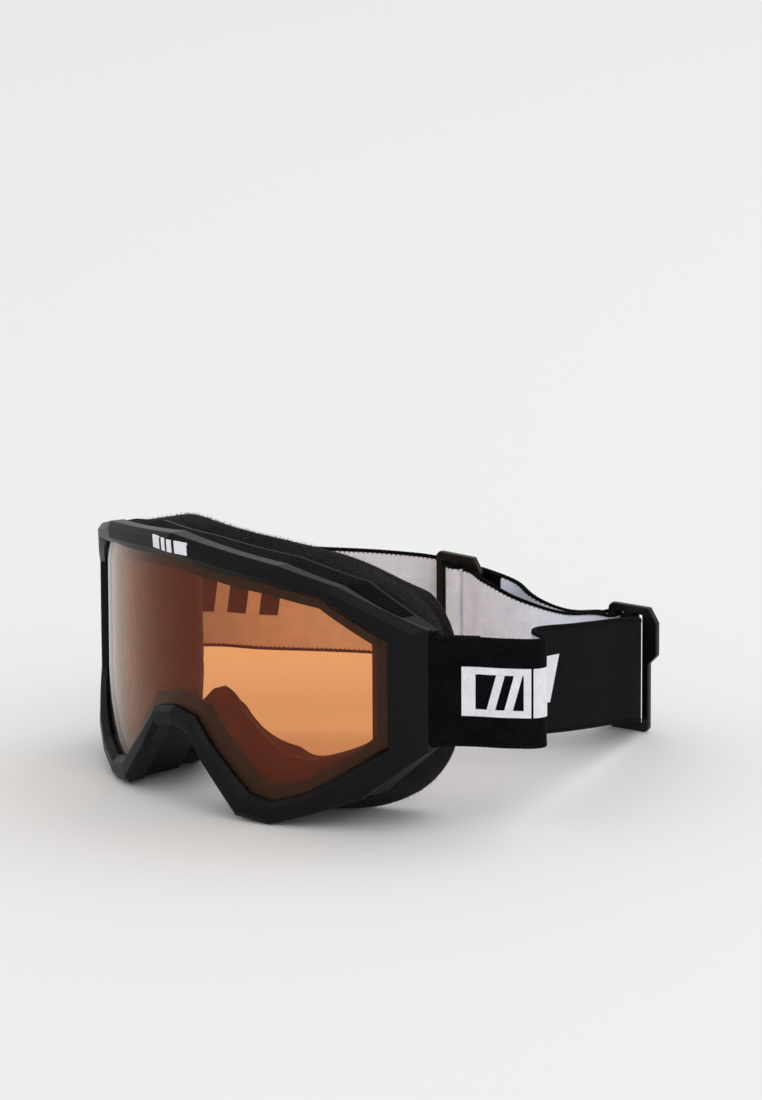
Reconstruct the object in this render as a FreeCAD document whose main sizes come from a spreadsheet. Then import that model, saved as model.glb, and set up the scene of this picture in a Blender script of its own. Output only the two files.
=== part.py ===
import FreeCAD, Part
import math
import os
import Sketcher
from FreeCAD import Placement, Rotation, Vector

# Ski goggles. X runs across the face, -Y is the way the wearer looks and +Z is up.
# While the pieces are built, x = 0 is the middle of the nose, y = 0 the front of the lens and
# z = 0 the surface the goggles stand on. The last step moves every piece so that the origin
# is at the middle of the whole object's footprint.

doc = FreeCAD.newDocument("SkiGoggles")
sheet = doc.addObject("Spreadsheet::Sheet", "Sizes")

SIZES = {
    # front rim, corner by corner, from the brow round the temple to the nose
    "half_width": 88.2, "brow_z": 101.2, "bend_x": 46.0, "bend_z": 95.8,
    "shoulder_in": 22.7, "shoulder_z": 89.6, "temple_high": 74.0, "temple_low": 29.0,
    "cheek_in": 17.0, "cheek_z": 11.3, "jaw_in": 32.0, "jaw_z": 4.8,
    "foot_outer": 42.9, "foot_inner": 29.8, "foot_rise": 1.5,
    "leg_x": 16.6, "leg_z": 16.9, "arch_x": 8.7, "arch_z": 27.8, "arch_mid": 30.1,
    # window in the rim that shows the lens
    "rim_brow": 9.0, "sight_bend_x": 42.0, "sight_bend_z": 88.2,
    "sight_shoulder_in": 28.6, "sight_shoulder_z": 84.7, "rim_side": 9.8,
    "sight_high": 69.4, "sight_low": 31.0, "sight_cheek_in": 24.2, "sight_cheek_z": 18.9,
    "sight_jaw_in": 33.6, "sight_jaw_z": 12.6, "sight_foot_x": 43.4, "sight_foot_z": 8.4,
    "sight_leg_x": 34.4, "sight_leg_z": 10.4, "sight_nose_x": 17.2, "sight_nose_z": 27.0,
    "sight_arch_x": 10.8, "sight_arch_z": 35.1, "rim_nose": 7.1,
    # depths of the two frames
    "lens_radius": 107.9, "rim_proud": 3.5, "split_depth": 5.9, "temple_rim": 3.2,
    "seat_depth": 23.5, "temple_shell": 10.2, "shell_inset": 1.0, "shell_drop": 5.6,
    "shell_wall": 1.8, "flange_wall": 1.6, "fit_gap": 0.2,
    # lens stack
    "lens_tuck": 2.2, "pocket_play": 0.3, "outer_pane": 1.2, "spacer_depth": 3.0,
    "spacer_width": 4.5, "inner_pane": 0.8, "seal_depth": 0.8, "stack_gap": 0.15,
    # opening for the face and the foam behind the shell
    "face_top": 86.0, "face_bend_x": 40.0, "face_bend_z": 84.5, "face_shoulder_x": 60.0,
    "face_shoulder_z": 77.0, "face_half": 67.0, "face_high": 67.0, "face_low": 44.0,
    "face_cheek_x": 57.0, "face_cheek_z": 26.0, "face_jaw_x": 33.0, "face_jaw_z": 16.5,
    "bridge_side_x": 19.0, "bridge_side_z": 29.0, "bridge_x": 9.0, "bridge_z": 41.0,
    "foam_bulge": 1.4, "foam_base": 7.0, "face_radius": 88.0, "face_depth": 40.0,
    "foam_back": 66.5, "foam_inset": 5.0, "foam_half": 75.0, "fleece": 1.2,
    "foam_ground": 0.2,
    # vents
    "vent_foam": 3.0, "vent_width": 15.0, "vent_pitch": 22.0,
    # strap and its anchors
    "strap_mid": 51.4, "strap_width": 40.0, "strap_thick": 1.4, "pin_radius": 1.1,
    "pin_in": 4.2, "pin_back": 3.5, "window_in": 8.0, "window_play": 1.0, "lug_wall": 2.5,
    # three-bar buckles
    "buckle_tall": 48.0, "buckle_width": 18.0, "buckle_thick": 2.4, "side_bar": 3.0,
    "centre_bar": 3.2, "slot_tall": 41.6, "tab_out": 3.6, "tab_low": 6.0, "tab_high": 18.5,
    "corner_cut": 1.5,
}
for row, (alias, value) in enumerate(SIZES.items(), start=1):
    sheet.set("A%d" % row, alias)
    sheet.set("B%d" % row, str(value))
    sheet.setAlias("B%d" % row, alias)
doc.recompute()


def size(alias):
    """Value of one named size, in millimetres."""
    return float(sheet.get(alias))


def cell(text):
    """Expression in which every named size refers to the sheet."""
    words = []
    for word in text.replace("(", " ( ").replace(")", " ) ").split():
        words.append("Sizes." + word if word in SIZES else word)
    return " ".join(words).replace("sqrt (", "sqrt(")


# ------------------------------------------------------------------ building blocks
UPRIGHT = Rotation(Vector(1, 0, 0), 90)
FRONT_LIMIT = -20.0
BACK_LIMIT = 100.0
TOP_LIMIT = 130.0


def bind(thing, **formulas):
    for name, text in formulas.items():
        thing.setExpression(name.replace("__", "."), cell(text))
    return thing


def total(text):
    """Value of a sum of named sizes and numbers, such as "half_width - cheek_in"."""
    amount, sign = 0.0, 1.0
    for word in text.split():
        if word in "+-":
            sign = -1.0 if word == "-" else 1.0
        else:
            amount += sign * (size(word) if word in SIZES else float(word))
    return amount


def mirrored(corners):
    """Corners of the +X half, from the middle of the brow to the middle of the nose, and their twins."""
    twins = [("0 - ( %s )" % across, up) for across, up in corners[-2:0:-1]]
    return corners + twins


def closed_sketch(sketch, corners):
    """Closed polygon whose corners are held by distances bound to the sheet."""
    places = []
    for across, up in corners:
        inside = across.startswith("0 - (")
        value = -total(across[5:-1]) if inside else total(across)
        places.append((value, total(up)))
    count = len(corners)
    for index, (across, up) in enumerate(places):
        after = places[(index + 1) % count]
        sketch.addGeometry(Part.LineSegment(Vector(across, up, 0), Vector(after[0], after[1], 0)))
    for index in range(count):
        sketch.addConstraint(Sketcher.Constraint("Coincident", index, 2, (index + 1) % count, 1))
    for index, (corner, place) in enumerate(zip(corners, places)):
        for kind, text, value in zip(("DistanceX", "DistanceY"), corner, place):
            number = sketch.addConstraint(Sketcher.Constraint(kind, -1, 1, index, 1, value))
            sketch.setExpression("Constraints[%d]" % number, cell(text))
    return sketch


def outline(name, corners):
    """Outline seen from the front, standing in the XZ plane."""
    sketch = doc.addObject("Sketcher::SketchObject", name)
    sketch.Placement = Placement(Vector(), UPRIGHT)
    return closed_sketch(sketch, mirrored(corners))


def offset(name, source, amount):
    """Outline moved outwards by a sum of named sizes, with sharp corners."""
    ring = doc.addObject("Part::Offset2D", name)
    ring.Source = source
    ring.Join = "Intersection"
    return bind(ring, Value=amount)


def column(name, source):
    """Outline carried straight back through the whole depth."""
    solid = doc.addObject("Part::Extrusion", name)
    solid.Base = source
    solid.DirMode = "Custom"
    solid.Dir = Vector(0, 1, 0)
    solid.LengthFwd = BACK_LIMIT
    solid.LengthRev = -FRONT_LIMIT
    solid.Solid = True
    return solid


def cut(name, base, tool):
    solid = doc.addObject("Part::Cut", name)
    solid.Base = base
    solid.Tool = tool
    return solid


def common(name, *parts):
    solid = doc.addObject("Part::MultiCommon", name)
    solid.Shapes = list(parts)
    return solid


def fuse(name, *parts):
    solid = doc.addObject("Part::MultiFuse", name)
    solid.Shapes = list(parts)
    return solid


def box(name, low, high):
    """Box between two corners, each given as three sums of named sizes."""
    solid = doc.addObject("Part::Box", name)
    bind(solid, Placement__Base__x=low[0], Placement__Base__y=low[1], Placement__Base__z=low[2])
    return bind(
        solid,
        Length="( %s ) - ( %s )" % (high[0], low[0]),
        Width="( %s ) - ( %s )" % (high[1], low[1]),
        Height="( %s ) - ( %s )" % (high[2], low[2]),
    )


def drum(name, radius, middle):
    """Upright cylinder on the plane of symmetry; the frames' depths are arcs of such drums."""
    solid = doc.addObject("Part::Cylinder", name)
    solid.Height = TOP_LIMIT + 10.0
    solid.Placement = Placement(Vector(0, 0, -5.0), Rotation())
    return bind(solid, Radius=radius, Placement__Base__y=middle)


def ahead(name, wheel):
    """Everything in front of a drum."""
    block = box(name + "Block", ("-300", "-40", "-4"), ("300", "99", "125"))
    return cut(name, block, wheel)


def pane(name, near, far):
    """Shell behind the lens face, between two depths measured square to it."""
    outside = drum(name + "Outside", "lens_radius - ( %s )" % near, "lens_radius")
    inside = drum(name + "Inside", "lens_radius - ( %s )" % far, "lens_radius")
    return cut(name, outside, inside)


NODES = {}


def node(label, solid):
    """A finished sub-part, kept under the name of its file."""
    solid.Label = label
    NODES[label] = solid
    return solid


# ------------------------------------------------------------------ outlines
RIM = [
    ("0", "brow_z"), ("bend_x", "bend_z"), ("half_width - shoulder_in", "shoulder_z"),
    ("half_width", "temple_high"), ("half_width", "temple_low"),
    ("half_width - cheek_in", "cheek_z"), ("half_width - jaw_in", "jaw_z"),
    ("foot_outer", "0"), ("foot_inner", "foot_rise"), ("leg_x", "leg_z"),
    ("arch_x", "arch_z"), ("0", "arch_mid"),
]
SIGHT = [
    ("0", "brow_z - rim_brow"), ("sight_bend_x", "sight_bend_z"),
    ("half_width - sight_shoulder_in", "sight_shoulder_z"),
    ("half_width - rim_side", "sight_high"), ("half_width - rim_side", "sight_low"),
    ("half_width - sight_cheek_in", "sight_cheek_z"), ("half_width - sight_jaw_in", "sight_jaw_z"),
    ("sight_foot_x", "sight_foot_z"), ("sight_leg_x", "sight_leg_z"),
    ("sight_nose_x", "sight_nose_z"), ("sight_arch_x", "sight_arch_z"),
    ("0", "arch_mid + rim_nose"),
]
SHELL = [
    ("0", "brow_z - shell_drop"), ("bend_x - 8", "bend_z - shell_inset - 0.6"),
    ("half_width - shoulder_in - shell_inset", "shoulder_z - shell_inset"),
    ("half_width - shell_inset", "temple_high - shell_inset"),
    ("half_width - shell_inset", "temple_low + shell_inset"),
    ("half_width - cheek_in - shell_inset", "cheek_z + shell_inset"),
    ("half_width - jaw_in - shell_inset", "jaw_z + shell_inset"),
    ("foot_outer", "shell_inset"), ("foot_inner + shell_inset", "foot_rise + shell_inset"),
    ("leg_x + shell_inset", "leg_z + shell_inset"), ("arch_x", "arch_z + shell_inset"),
    ("0", "arch_mid + shell_inset"),
]
FACE = [
    ("0", "face_top"), ("face_bend_x", "face_bend_z"), ("face_shoulder_x", "face_shoulder_z"),
    ("face_half", "face_high"), ("face_half", "face_low"), ("face_cheek_x", "face_cheek_z"),
    ("face_jaw_x", "face_jaw_z"), ("bridge_side_x", "bridge_side_z"), ("bridge_x", "bridge_z"),
    ("0", "bridge_z"),
]
rim_outline = outline("RimOutline", RIM)
sight_outline = outline("SightOutline", SIGHT)
shell_outline = outline("ShellOutline", SHELL)
face_outline = outline("FaceOutline", FACE)
doc.recompute()

rim_column = column("RimColumn", rim_outline)
sight_column = column("SightColumn", sight_outline)
shell_column = column("ShellColumn", shell_outline)
face_column = column("FaceColumn", face_outline)
hollow_column = column("HollowColumn", offset("HollowOutline", shell_outline, "0 - shell_wall"))
lens_column = column("LensColumn", offset("LensOutline", sight_outline, "lens_tuck"))
pocket_column = column("PocketColumn", offset("PocketOutline", sight_outline, "lens_tuck + pocket_play"))
clear_column = column("ClearColumn", offset("ClearOutline", sight_outline, "0 - spacer_width"))
bulge_column = column("BulgeColumn", offset("BulgeOutline", shell_outline, "foam_bulge"))
inner_foam_column = column("InnerFoamColumn", offset("InnerFoamOutline", shell_outline, "0 - foam_inset"))

# ------------------------------------------------------------------ depths
# The front of the rim is a drum round the lens axis. The split between the two frames and the
# seat of the foam are flatter drums through a point on the mid plane and a point at the temple.
TEMPLE_Y = "( lens_radius - sqrt ( ( lens_radius + rim_proud ) ^ 2 - half_width ^ 2 ) )"


def temple_drum(name, depth, behind, less="0"):
    """Drum through a depth on the mid plane and a distance behind the rim's front at the temple."""
    sag = "( %s + %s - %s )" % (TEMPLE_Y, behind, depth)
    radius = "( ( half_width ^ 2 + %s ^ 2 ) / ( 2 * %s ) )" % (sag, sag)
    return drum(name, "%s + ( %s )" % (radius, less), "%s + %s" % (depth, radius))


face_front = ahead("FaceFront", drum("FrontDrum", "lens_radius + rim_proud", "lens_radius"))
before_split = ahead("BeforeSplit", temple_drum("SplitDrum", "split_depth", "temple_rim"))
before_shell = ahead("BeforeShell", temple_drum("ShellDrum", "split_depth", "temple_rim", "0 - fit_gap"))
before_seat = ahead("BeforeSeat", temple_drum("SeatDrum", "seat_depth", "temple_shell"))
before_flange = ahead(
    "BeforeFlange", temple_drum("FlangeDrum", "seat_depth", "temple_shell", "flange_wall"))
before_foam = ahead("BeforeFoam", temple_drum("FoamDrum", "seat_depth", "temple_shell", "0 - fit_gap"))
before_pad = ahead("BeforePad", temple_drum("PadDrum", "seat_depth", "temple_shell", "0 - foam_base"))
before_pad_gap = ahead(
    "BeforePadGap", temple_drum("PadGapDrum", "seat_depth", "temple_shell", "0 - foam_base - fit_gap"))
whole_front = cut("RimDepth", before_split, face_front)
shell_depth = cut("ShellDepth", before_seat, before_shell)
flange_depth = cut("FlangeDepth", before_seat, before_flange)
foam_depth = cut("FoamDepth", before_pad, before_foam)

# ------------------------------------------------------------------ front rim
STACK = "outer_pane + spacer_depth + inner_pane + seal_depth + 4 * stack_gap"
pocket = common("LensPocket", pocket_column, pane("PocketPane", "0", STACK))
rim_ring = cut("RimRing", rim_column, sight_column)
node("front_frame", cut("FrontFrame", common("RimBlank", rim_ring, whole_front), pocket))

# ------------------------------------------------------------------ lens stack
depth = "stack_gap"
outer_end = depth + " + outer_pane"
node("outer_lens", common("OuterLens", lens_column, pane("OuterPane", depth, outer_end)))
spacer_start = outer_end + " + stack_gap"
spacer_end = spacer_start + " + spacer_depth"
spacer_ring = cut("SpacerRing", lens_column, clear_column)
node("lens_spacer", common("LensSpacer", spacer_ring, pane("SpacerPane", spacer_start, spacer_end)))
inner_start = spacer_end + " + stack_gap"
inner_end = inner_start + " + inner_pane"
node("inner_lens", common("InnerLens", lens_column, pane("InnerPane", inner_start, inner_end)))
seal_start = inner_end + " + stack_gap"
seal_end = seal_start + " + seal_depth"
seal_ring = cut("SealRing", lens_column, sight_column)
node("lens_seal", common("LensSeal", seal_ring, pane("SealPane", seal_start, seal_end), before_flange))

# ------------------------------------------------------------------ rear frame
wall_ring = cut("WallRing", shell_column, hollow_column)
wall = common("ShellSide", wall_ring, shell_depth)
seat_ring = cut("SeatRing", shell_column, sight_column)
lens_seat_pane = pane("SeatPane", seal_end + " + stack_gap", seal_end + " + stack_gap + flange_wall")
lens_seat = common("LensSeat", seat_ring, lens_seat_pane, before_seat)
flange_ring = cut("FlangeRing", shell_column, face_column)
flange = common("FoamFlange", flange_ring, flange_depth)
PIN_X = "half_width - pin_in"
PIN_Y = TEMPLE_Y + " + pin_back"
WINDOW_LOW = "strap_mid - strap_width / 2 - window_play"
WINDOW_HIGH = "strap_mid + strap_width / 2 + window_play"
shell_solids = [wall, lens_seat, flange]
window_solids = []
for side, sign in (("Left", "-1"), ("Right", "1")):
    near = "half_width - window_in"
    low = near if sign == "1" else "0 - ( half_width + 10 )"
    high = "half_width + 10" if sign == "1" else "0 - ( %s )" % near
    window_solids.append(box(side + "Window", (low, "0", WINDOW_LOW), (high, "90", WINDOW_HIGH)))
    inner_x = "%s - flange_wall" % near
    plate_low = inner_x if sign == "1" else "0 - ( %s )" % near
    plate_high = near if sign == "1" else "0 - ( %s )" % inner_x
    lug_low = inner_x if sign == "1" else "0 - half_width"
    lug_high = "half_width" if sign == "1" else "0 - ( %s )" % inner_x
    plate = box(
        side + "Plate", (plate_low, "0", WINDOW_LOW + " - lug_wall"),
        (plate_high, "90", WINDOW_HIGH + " + lug_wall"))
    lower = box(side + "LowLug", (lug_low, "0", WINDOW_LOW + " - lug_wall"), (lug_high, "90", WINDOW_LOW))
    upper = box(side + "HighLug", (lug_low, "0", WINDOW_HIGH), (lug_high, "90", WINDOW_HIGH + " + lug_wall"))
    for piece in (plate, lower, upper):
        shell_solids.append(common(piece.Name + "Part", piece, shell_column, shell_depth))
    hole = doc.addObject("Part::Cylinder", side + "PinHole")
    bind(hole, Radius="pin_radius + fit_gap", Height="strap_width + 2 * window_play + 2 * lug_wall - 1")
    bind(hole, Placement__Base__x="%s * ( %s )" % (sign, PIN_X), Placement__Base__y=PIN_Y,
         Placement__Base__z=WINDOW_LOW + " - lug_wall + 0.5")
    window_solids.append(hole)
    pin = doc.addObject("Part::Cylinder", side + "Pin")
    bind(pin, Radius="pin_radius", Height="strap_width + 2 * window_play + 2 * lug_wall - 1.2")
    bind(pin, Placement__Base__x="%s * ( %s )" % (sign, PIN_X), Placement__Base__y=PIN_Y,
         Placement__Base__z=WINDOW_LOW + " - lug_wall + 0.6")
    node(side.lower() + "_anchor_pin", pin)

# Vents: slots through the shell's wall above the brow and under both cheeks.
vent_front = drum("VentFrontDrum", "lens_radius - ( %s ) - flange_wall - 1.6" % seal_end, "lens_radius")
before_vent_end = ahead(
    "BeforeVentEnd", temple_drum("VentEndDrum", "seat_depth", "temple_shell", "flange_wall + 1.0"))
vent_depth = common("VentDepth", vent_front, before_vent_end)
vent_blocks = []
for index in (-1.5, -0.5, 0.5, 1.5):
    low = "%s * vent_pitch - vent_width / 2" % index
    high = "%s * vent_pitch + vent_width / 2" % index
    name = "BrowVent%d" % len(vent_blocks)
    vent_blocks.append(box(name, (low, "0", "brow_z - 16"), (high, "90", "brow_z")))
for side, sign in (("Left", "-1"), ("Right", "1")):
    middle = "%s * ( half_width - jaw_in + 7 )" % sign
    low = middle + " - vent_width / 3"
    high = middle + " + vent_width / 3"
    vent_blocks.append(box(side + "CheekVent", (low, "0", "0"), (high, "90", "cheek_z + 4")))
vents = common("Vents", fuse("VentBlocks", *vent_blocks), vent_depth)
shell_blank = fuse("ShellBlank", *shell_solids)
node("rear_frame", cut("RearFrame", shell_blank, fuse("ShellCuts", pocket, vents, *window_solids)))

vent_room = column("VentRoom", offset("VentRoomOutline", shell_outline, "0 - shell_wall - fit_gap"))
vent_core = column(
    "VentCore", offset("VentCoreOutline", shell_outline, "0 - shell_wall - fit_gap - vent_foam"))
vent_ring = common("VentFoamRing", cut("VentRing", vent_room, vent_core), vent_depth)
top_block = box("TopFoamBlock", ("-2 * vent_pitch", "0", "brow_z - 18"), ("2 * vent_pitch", "90", "brow_z"))
node("brow_vent_foam", common("BrowVentFoam", vent_ring, top_block))
for side, sign in (("left", "-1"), ("right", "1")):
    middle = "%s * ( half_width - jaw_in + 7 )" % sign
    block = box(
        side + "FoamBlock", (middle + " - vent_width / 2", "0", "0"),
        (middle + " + vent_width / 2", "90", "cheek_z + 7"))
    node(side + "_cheek_vent_foam", common(side + "CheekFoam", vent_ring, block))

# ------------------------------------------------------------------ face foam
above_ground = box("AboveGround", ("-120", "-20", "foam_ground"), ("120", "95", "120"))
base_ring = cut("BaseRing", bulge_column, face_column)
tail_room = fuse("TailRoom", *[
    box(side + "TailRoom", (low, "0", WINDOW_LOW), (high, "seat_depth + 25.5", WINDOW_HIGH))
    for side, low, high in (
        ("Right", "half_width - window_in", "half_width + 10"),
        ("Left", "0 - half_width - 10", "0 - half_width + window_in"))])
base_blank = common("BaseBlank", base_ring, foam_depth, above_ground)
side_cap = box("SideCap", ("0 - half_width + 2.4", "0", "0"), ("half_width - 2.4", "95", "120"))
node("foam_base", cut("FoamBase", common("FoamBaseBlank", base_blank, side_cap), tail_room))

MIDDLE = "face_depth + face_radius"
fleece_front = cut(
    "FleeceFront", box("FleeceLimit", ("-200", "-40", "-4"), ("200", "foam_back - fleece", "125")),
    drum("FleeceDrum", "face_radius + fleece", MIDDLE))
skin_front = cut(
    "SkinFront", box("SkinLimit", ("-200", "-40", "-4"), ("200", "foam_back", "125")),
    drum("SkinDrum", "face_radius", MIDDLE))
pad_front = cut(
    "PadFront", box("PadLimit", ("-200", "-40", "-4"), ("200", "foam_back - fleece - stack_gap", "125")),
    drum("PadFrontDrum", "face_radius + fleece + stack_gap", MIDDLE))
pad_ring = cut("PadRing", inner_foam_column, face_column)
pad_sides = box("PadSides", ("0 - foam_half", "0", "0"), ("foam_half", "95", "120"))
pad_blank = common("PadBlank", pad_ring, pad_front, pad_sides)
node("foam_face", cut("FoamFace", pad_blank, before_pad_gap))
skin_blank = common("SkinBlank", pad_ring, skin_front, pad_sides)
node("face_fleece", cut("FaceFleece", cut("SkinBack", skin_blank, fleece_front), before_pad_gap))

# ------------------------------------------------------------------ buckles
# Both buckles are the same flat three-bar plate, with a finger tab on one side.


def body_sketch(body, name, corners):
    """Closed sketch on the body's own XY plane."""
    sketch = body.newObject("Sketcher::SketchObject", name)
    plane = [item for item in body.Origin.OriginFeatures if item.Role == "XY_Plane"][0]
    sketch.AttachmentSupport = (plane, [""])
    sketch.MapMode = "FlatFace"
    return closed_sketch(sketch, corners)


def buckle(label, place):
    body = doc.addObject("PartDesign::Body", label.title().replace("_", ""))
    half = size("buckle_width") / 2.0
    tall = size("buckle_tall") / 2.0
    corners = [
        ("%s" % -half, "corner_cut - %s" % tall), ("corner_cut - %s" % half, "%s" % -tall),
        ("%s - corner_cut" % half, "%s" % -tall), ("%s" % half, "corner_cut - %s" % tall),
        ("%s" % half, "tab_low - tab_out"), ("%s + tab_out" % half, "tab_low"),
        ("%s + tab_out" % half, "tab_high"), ("%s" % half, "%s" % tall),
        ("corner_cut - %s" % half, "%s" % tall), ("%s" % -half, "%s - corner_cut" % tall),
    ]
    plate = body.newObject("PartDesign::Pad", body.Name + "Plate")
    plate.Profile = body_sketch(body, body.Name + "Outline", corners)
    plate.Midplane = True
    bind(plate, Length="buckle_thick")
    inner = size("centre_bar") / 2.0
    outer = half - size("side_bar")
    reach = size("slot_tall") / 2.0
    for number, (low, high) in enumerate(((-outer, -inner), (inner, outer))):
        hole = [("%s" % low, "%s" % -reach), ("%s" % high, "%s" % -reach),
                ("%s" % high, "%s" % reach), ("%s" % low, "%s" % reach)]
        slot = body.newObject("PartDesign::Pocket", "%sSlot%d" % (body.Name, number))
        slot.Profile = body_sketch(body, "%sHole%d" % (body.Name, number), hole)
        slot.Type = "ThroughAll"
        slot.Midplane = True
    body.Placement = place
    return node(label, body)


def turned(middle, degrees, flip=1.0):
    """Placement of an upright plate whose width is turned about the vertical."""
    angle = math.radians(degrees)
    across = Vector(math.cos(angle), math.sin(angle), 0)
    facing = across.cross(Vector(0, 0, 1))
    matrix = FreeCAD.Matrix(
        across.x, 0, facing.x, middle[0],
        across.y, 0, facing.y, middle[1],
        0, 1, 0, middle[2],
        0, 0, 0, 1)
    return Placement(matrix)


RING_TURN, RING_MIDDLE = 13.6, (33.0, 192.5, 24.0)
SLIDER_TURN, SLIDER_MIDDLE = 8.0, (-1.0, 136.2, 46.5)
ring_place = turned(RING_MIDDLE, RING_TURN)
slider_place = turned(SLIDER_MIDDLE, SLIDER_TURN)
buckle("ring_buckle", ring_place)
buckle("adjuster_buckle", slider_place)


def beside(place, across, front):
    """Point beside a buckle's bars, seen from above: (x, y)."""
    point = place.multVec(Vector(across, 0, front))
    return (point.x, point.y)


# ------------------------------------------------------------------ webbing
def webbing(label, points, width, thick, step=1.2):
    """Band of even width and thickness whose middle follows points (x, y, z)."""
    curve = Part.BSplineCurve()
    curve.interpolate([Vector(*point) for point in points])
    sections = []
    count = max(16, int(curve.length() / step))
    for number in range(count):
        reached = curve.parameterAtDistance(curve.length() * number / (count - 1.0), curve.FirstParameter)
        point, tangent = curve.value(reached), curve.tangent(reached)[0]
        side = Vector(tangent.y, -tangent.x, 0)
        side.normalize()
        side, up = side * (thick / 2.0), Vector(0, 0, width / 2.0)
        corners = [point - side - up, point + side - up, point + side + up, point - side + up]
        sections.append(Part.makePolygon(corners + corners[:1]))
    band = doc.addObject("Part::Feature", label.title().replace("_", ""))
    band.Shape = Part.makeLoft(sections, True, True)
    return node(label, band)


def around(middle, radius, angles, height):
    """Points on a turn about an upright pin."""
    return [
        (middle[0] + radius * math.cos(math.radians(a)), middle[1] + radius * math.sin(math.radians(a)), height)
        for a in angles]


temple_y = size("lens_radius") - math.sqrt(
    (size("lens_radius") + size("rim_proud")) ** 2 - size("half_width") ** 2)
pin_x = size("half_width") - size("pin_in")
pin_y = temple_y + size("pin_back")
mid = size("strap_mid")
wide = size("strap_width")
thick = size("strap_thick")
turn_radius = size("pin_radius") + 0.2 + thick / 2.0
shift_x = pin_x - 84.0
shift_y = pin_y - 43.35

RIGHT_START = [(99.0, 58.2), (93.2, 53.1), (87.5, 48.2), (83.6, 45.5)]
RIGHT_END = [(88.6, 45.7), (94.2, 51.7), (100.0, 56.8)]
RIGHT_RUN = [
    (105.5, 61.5, 51.2), (109.8, 66.2, 51.0), (113.2, 72.5, 50.6), (112.4, 76.8, 50.3), (108.2, 79.3, 50.0),
    (103.0, 81.3, 49.6), (98.6, 84.0, 49.2), (94.9, 88.2, 48.5), (91.6, 94.5, 47.4), (85.4, 107.8, 44.5),
    (75.7, 127.7, 40.0), (62.9, 152.2, 34.5), (53.1, 171.1, 30.3), (44.6, 186.0, 26.0),
]
# Threaded through the ring: in by the slot on the right, round the centre bar, back beside itself.
RIGHT_THREAD = [
    (6.3, 3.6), (4.3, 2.0), (2.9, 0.4), (2.6, -1.1), (1.7, -2.15), (0.0, -2.25), (-1.7, -2.1),
    (-2.6, -1.1), (-2.65, 0.0), (-2.6, 1.1), (-1.7, 2.1), (0.0, 2.4), (1.6, 3.5), (4.3, 6.0),
]
RIGHT_TAIL = [(43.6, 180.9, 26.4), (48.3, 173.0, 28.5)]
LEFT_START = [(-86.9, 58.0), (-87.35, 53.5), (-86.9, 49.5), (-84.9, 46.6)]
LEFT_END = [(-87.6, 46.0), (-89.3, 51.0), (-88.6, 58.0), (-84.5, 66.0)]
LEFT_RUN = [
    (-79.0, 74.0, 51.0), (-72.0, 81.5, 51.0), (-63.0, 89.5, 50.4), (-53.0, 99.5, 50.0),
    (-43.0, 111.5, 49.3), (-33.5, 122.6, 48.5),
]
# Past the back of the adjuster, which slides along it.
LEFT_PAST = [(-22.3, 0.5), (-16.0, -2.6), (-10.6, -4.2), (-5.0, -4.5), (0.0, -4.5), (10.6, -4.5), (15.0, -6.0)]
LEFT_PAST_Z = (47.6, 47.2, 46.8, 46.6, 46.3, 45.6, 44.5)
LEFT_BACK = [
    (20.5, 148.4, 41.3), (26.0, 147.9, 39.2), (30.6, 149.3, 37.0), (33.3, 153.6, 34.5),
    (32.6, 161.0, 31.5), (29.6, 172.0, 28.5), (25.6, 184.0, 25.8),
]
LEFT_THREAD = [
    (-10.6, 0.4), (-10.1, -1.4), (-8.8, -2.2), (-7.4, -2.3), (-6.1, -2.15), (-5.1, -1.5), (-4.7, -0.3),
]
RETURN_RING = [(-4.7, 0.4), (-4.8, 1.6), (-4.9, 3.2)]
RETURN_RUN = [
    (31.0, 178.0, 27.0), (34.3, 166.0, 29.8), (36.6, 155.5, 32.2), (35.9, 148.0, 34.8),
    (32.6, 142.0, 37.5), (27.0, 137.9, 40.0), (20.5, 135.0, 43.0),
]
RETURN_THREAD = [
    (14.0, 3.9), (10.6, 2.5), (7.6, 2.2), (5.5, 1.9), (4.8, 0.7), (4.8, -0.7), (5.5, -1.95),
    (7.4, -2.2), (10.0, -2.4), (13.0, -2.4), (17.0, -1.6), (20.5, -0.2),
]
RETURN_THREAD_Z = (45.2, 45.9, 46.3, 46.5, 46.5, 46.5, 46.5, 46.5, 46.3, 46.0, 45.6, 45.2)
HUMP = [
    (-9.8, -2.4), (-8.0, -2.35), (-6.3, -2.25), (-5.1, -1.6), (-3.7, 0.3), (-2.4, 2.0), (0.0, 2.4),
    (1.8, 2.1), (2.7, 0.9), (2.85, -0.6), (2.9, -2.0),
]


def at_pin(points, side):
    """Points given for one size of rim, moved with the anchor pin when the sizes change."""
    return [(x + side * shift_x, y + shift_y, mid) for x, y in points]


def threaded(place, points, heights):
    """Points beside a buckle's bars, with the height of the webbing's middle."""
    if isinstance(heights, float):
        heights = [heights] * len(points)
    return [beside(place, across, front) + (z,) for (across, front), z in zip(points, heights)]


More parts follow.
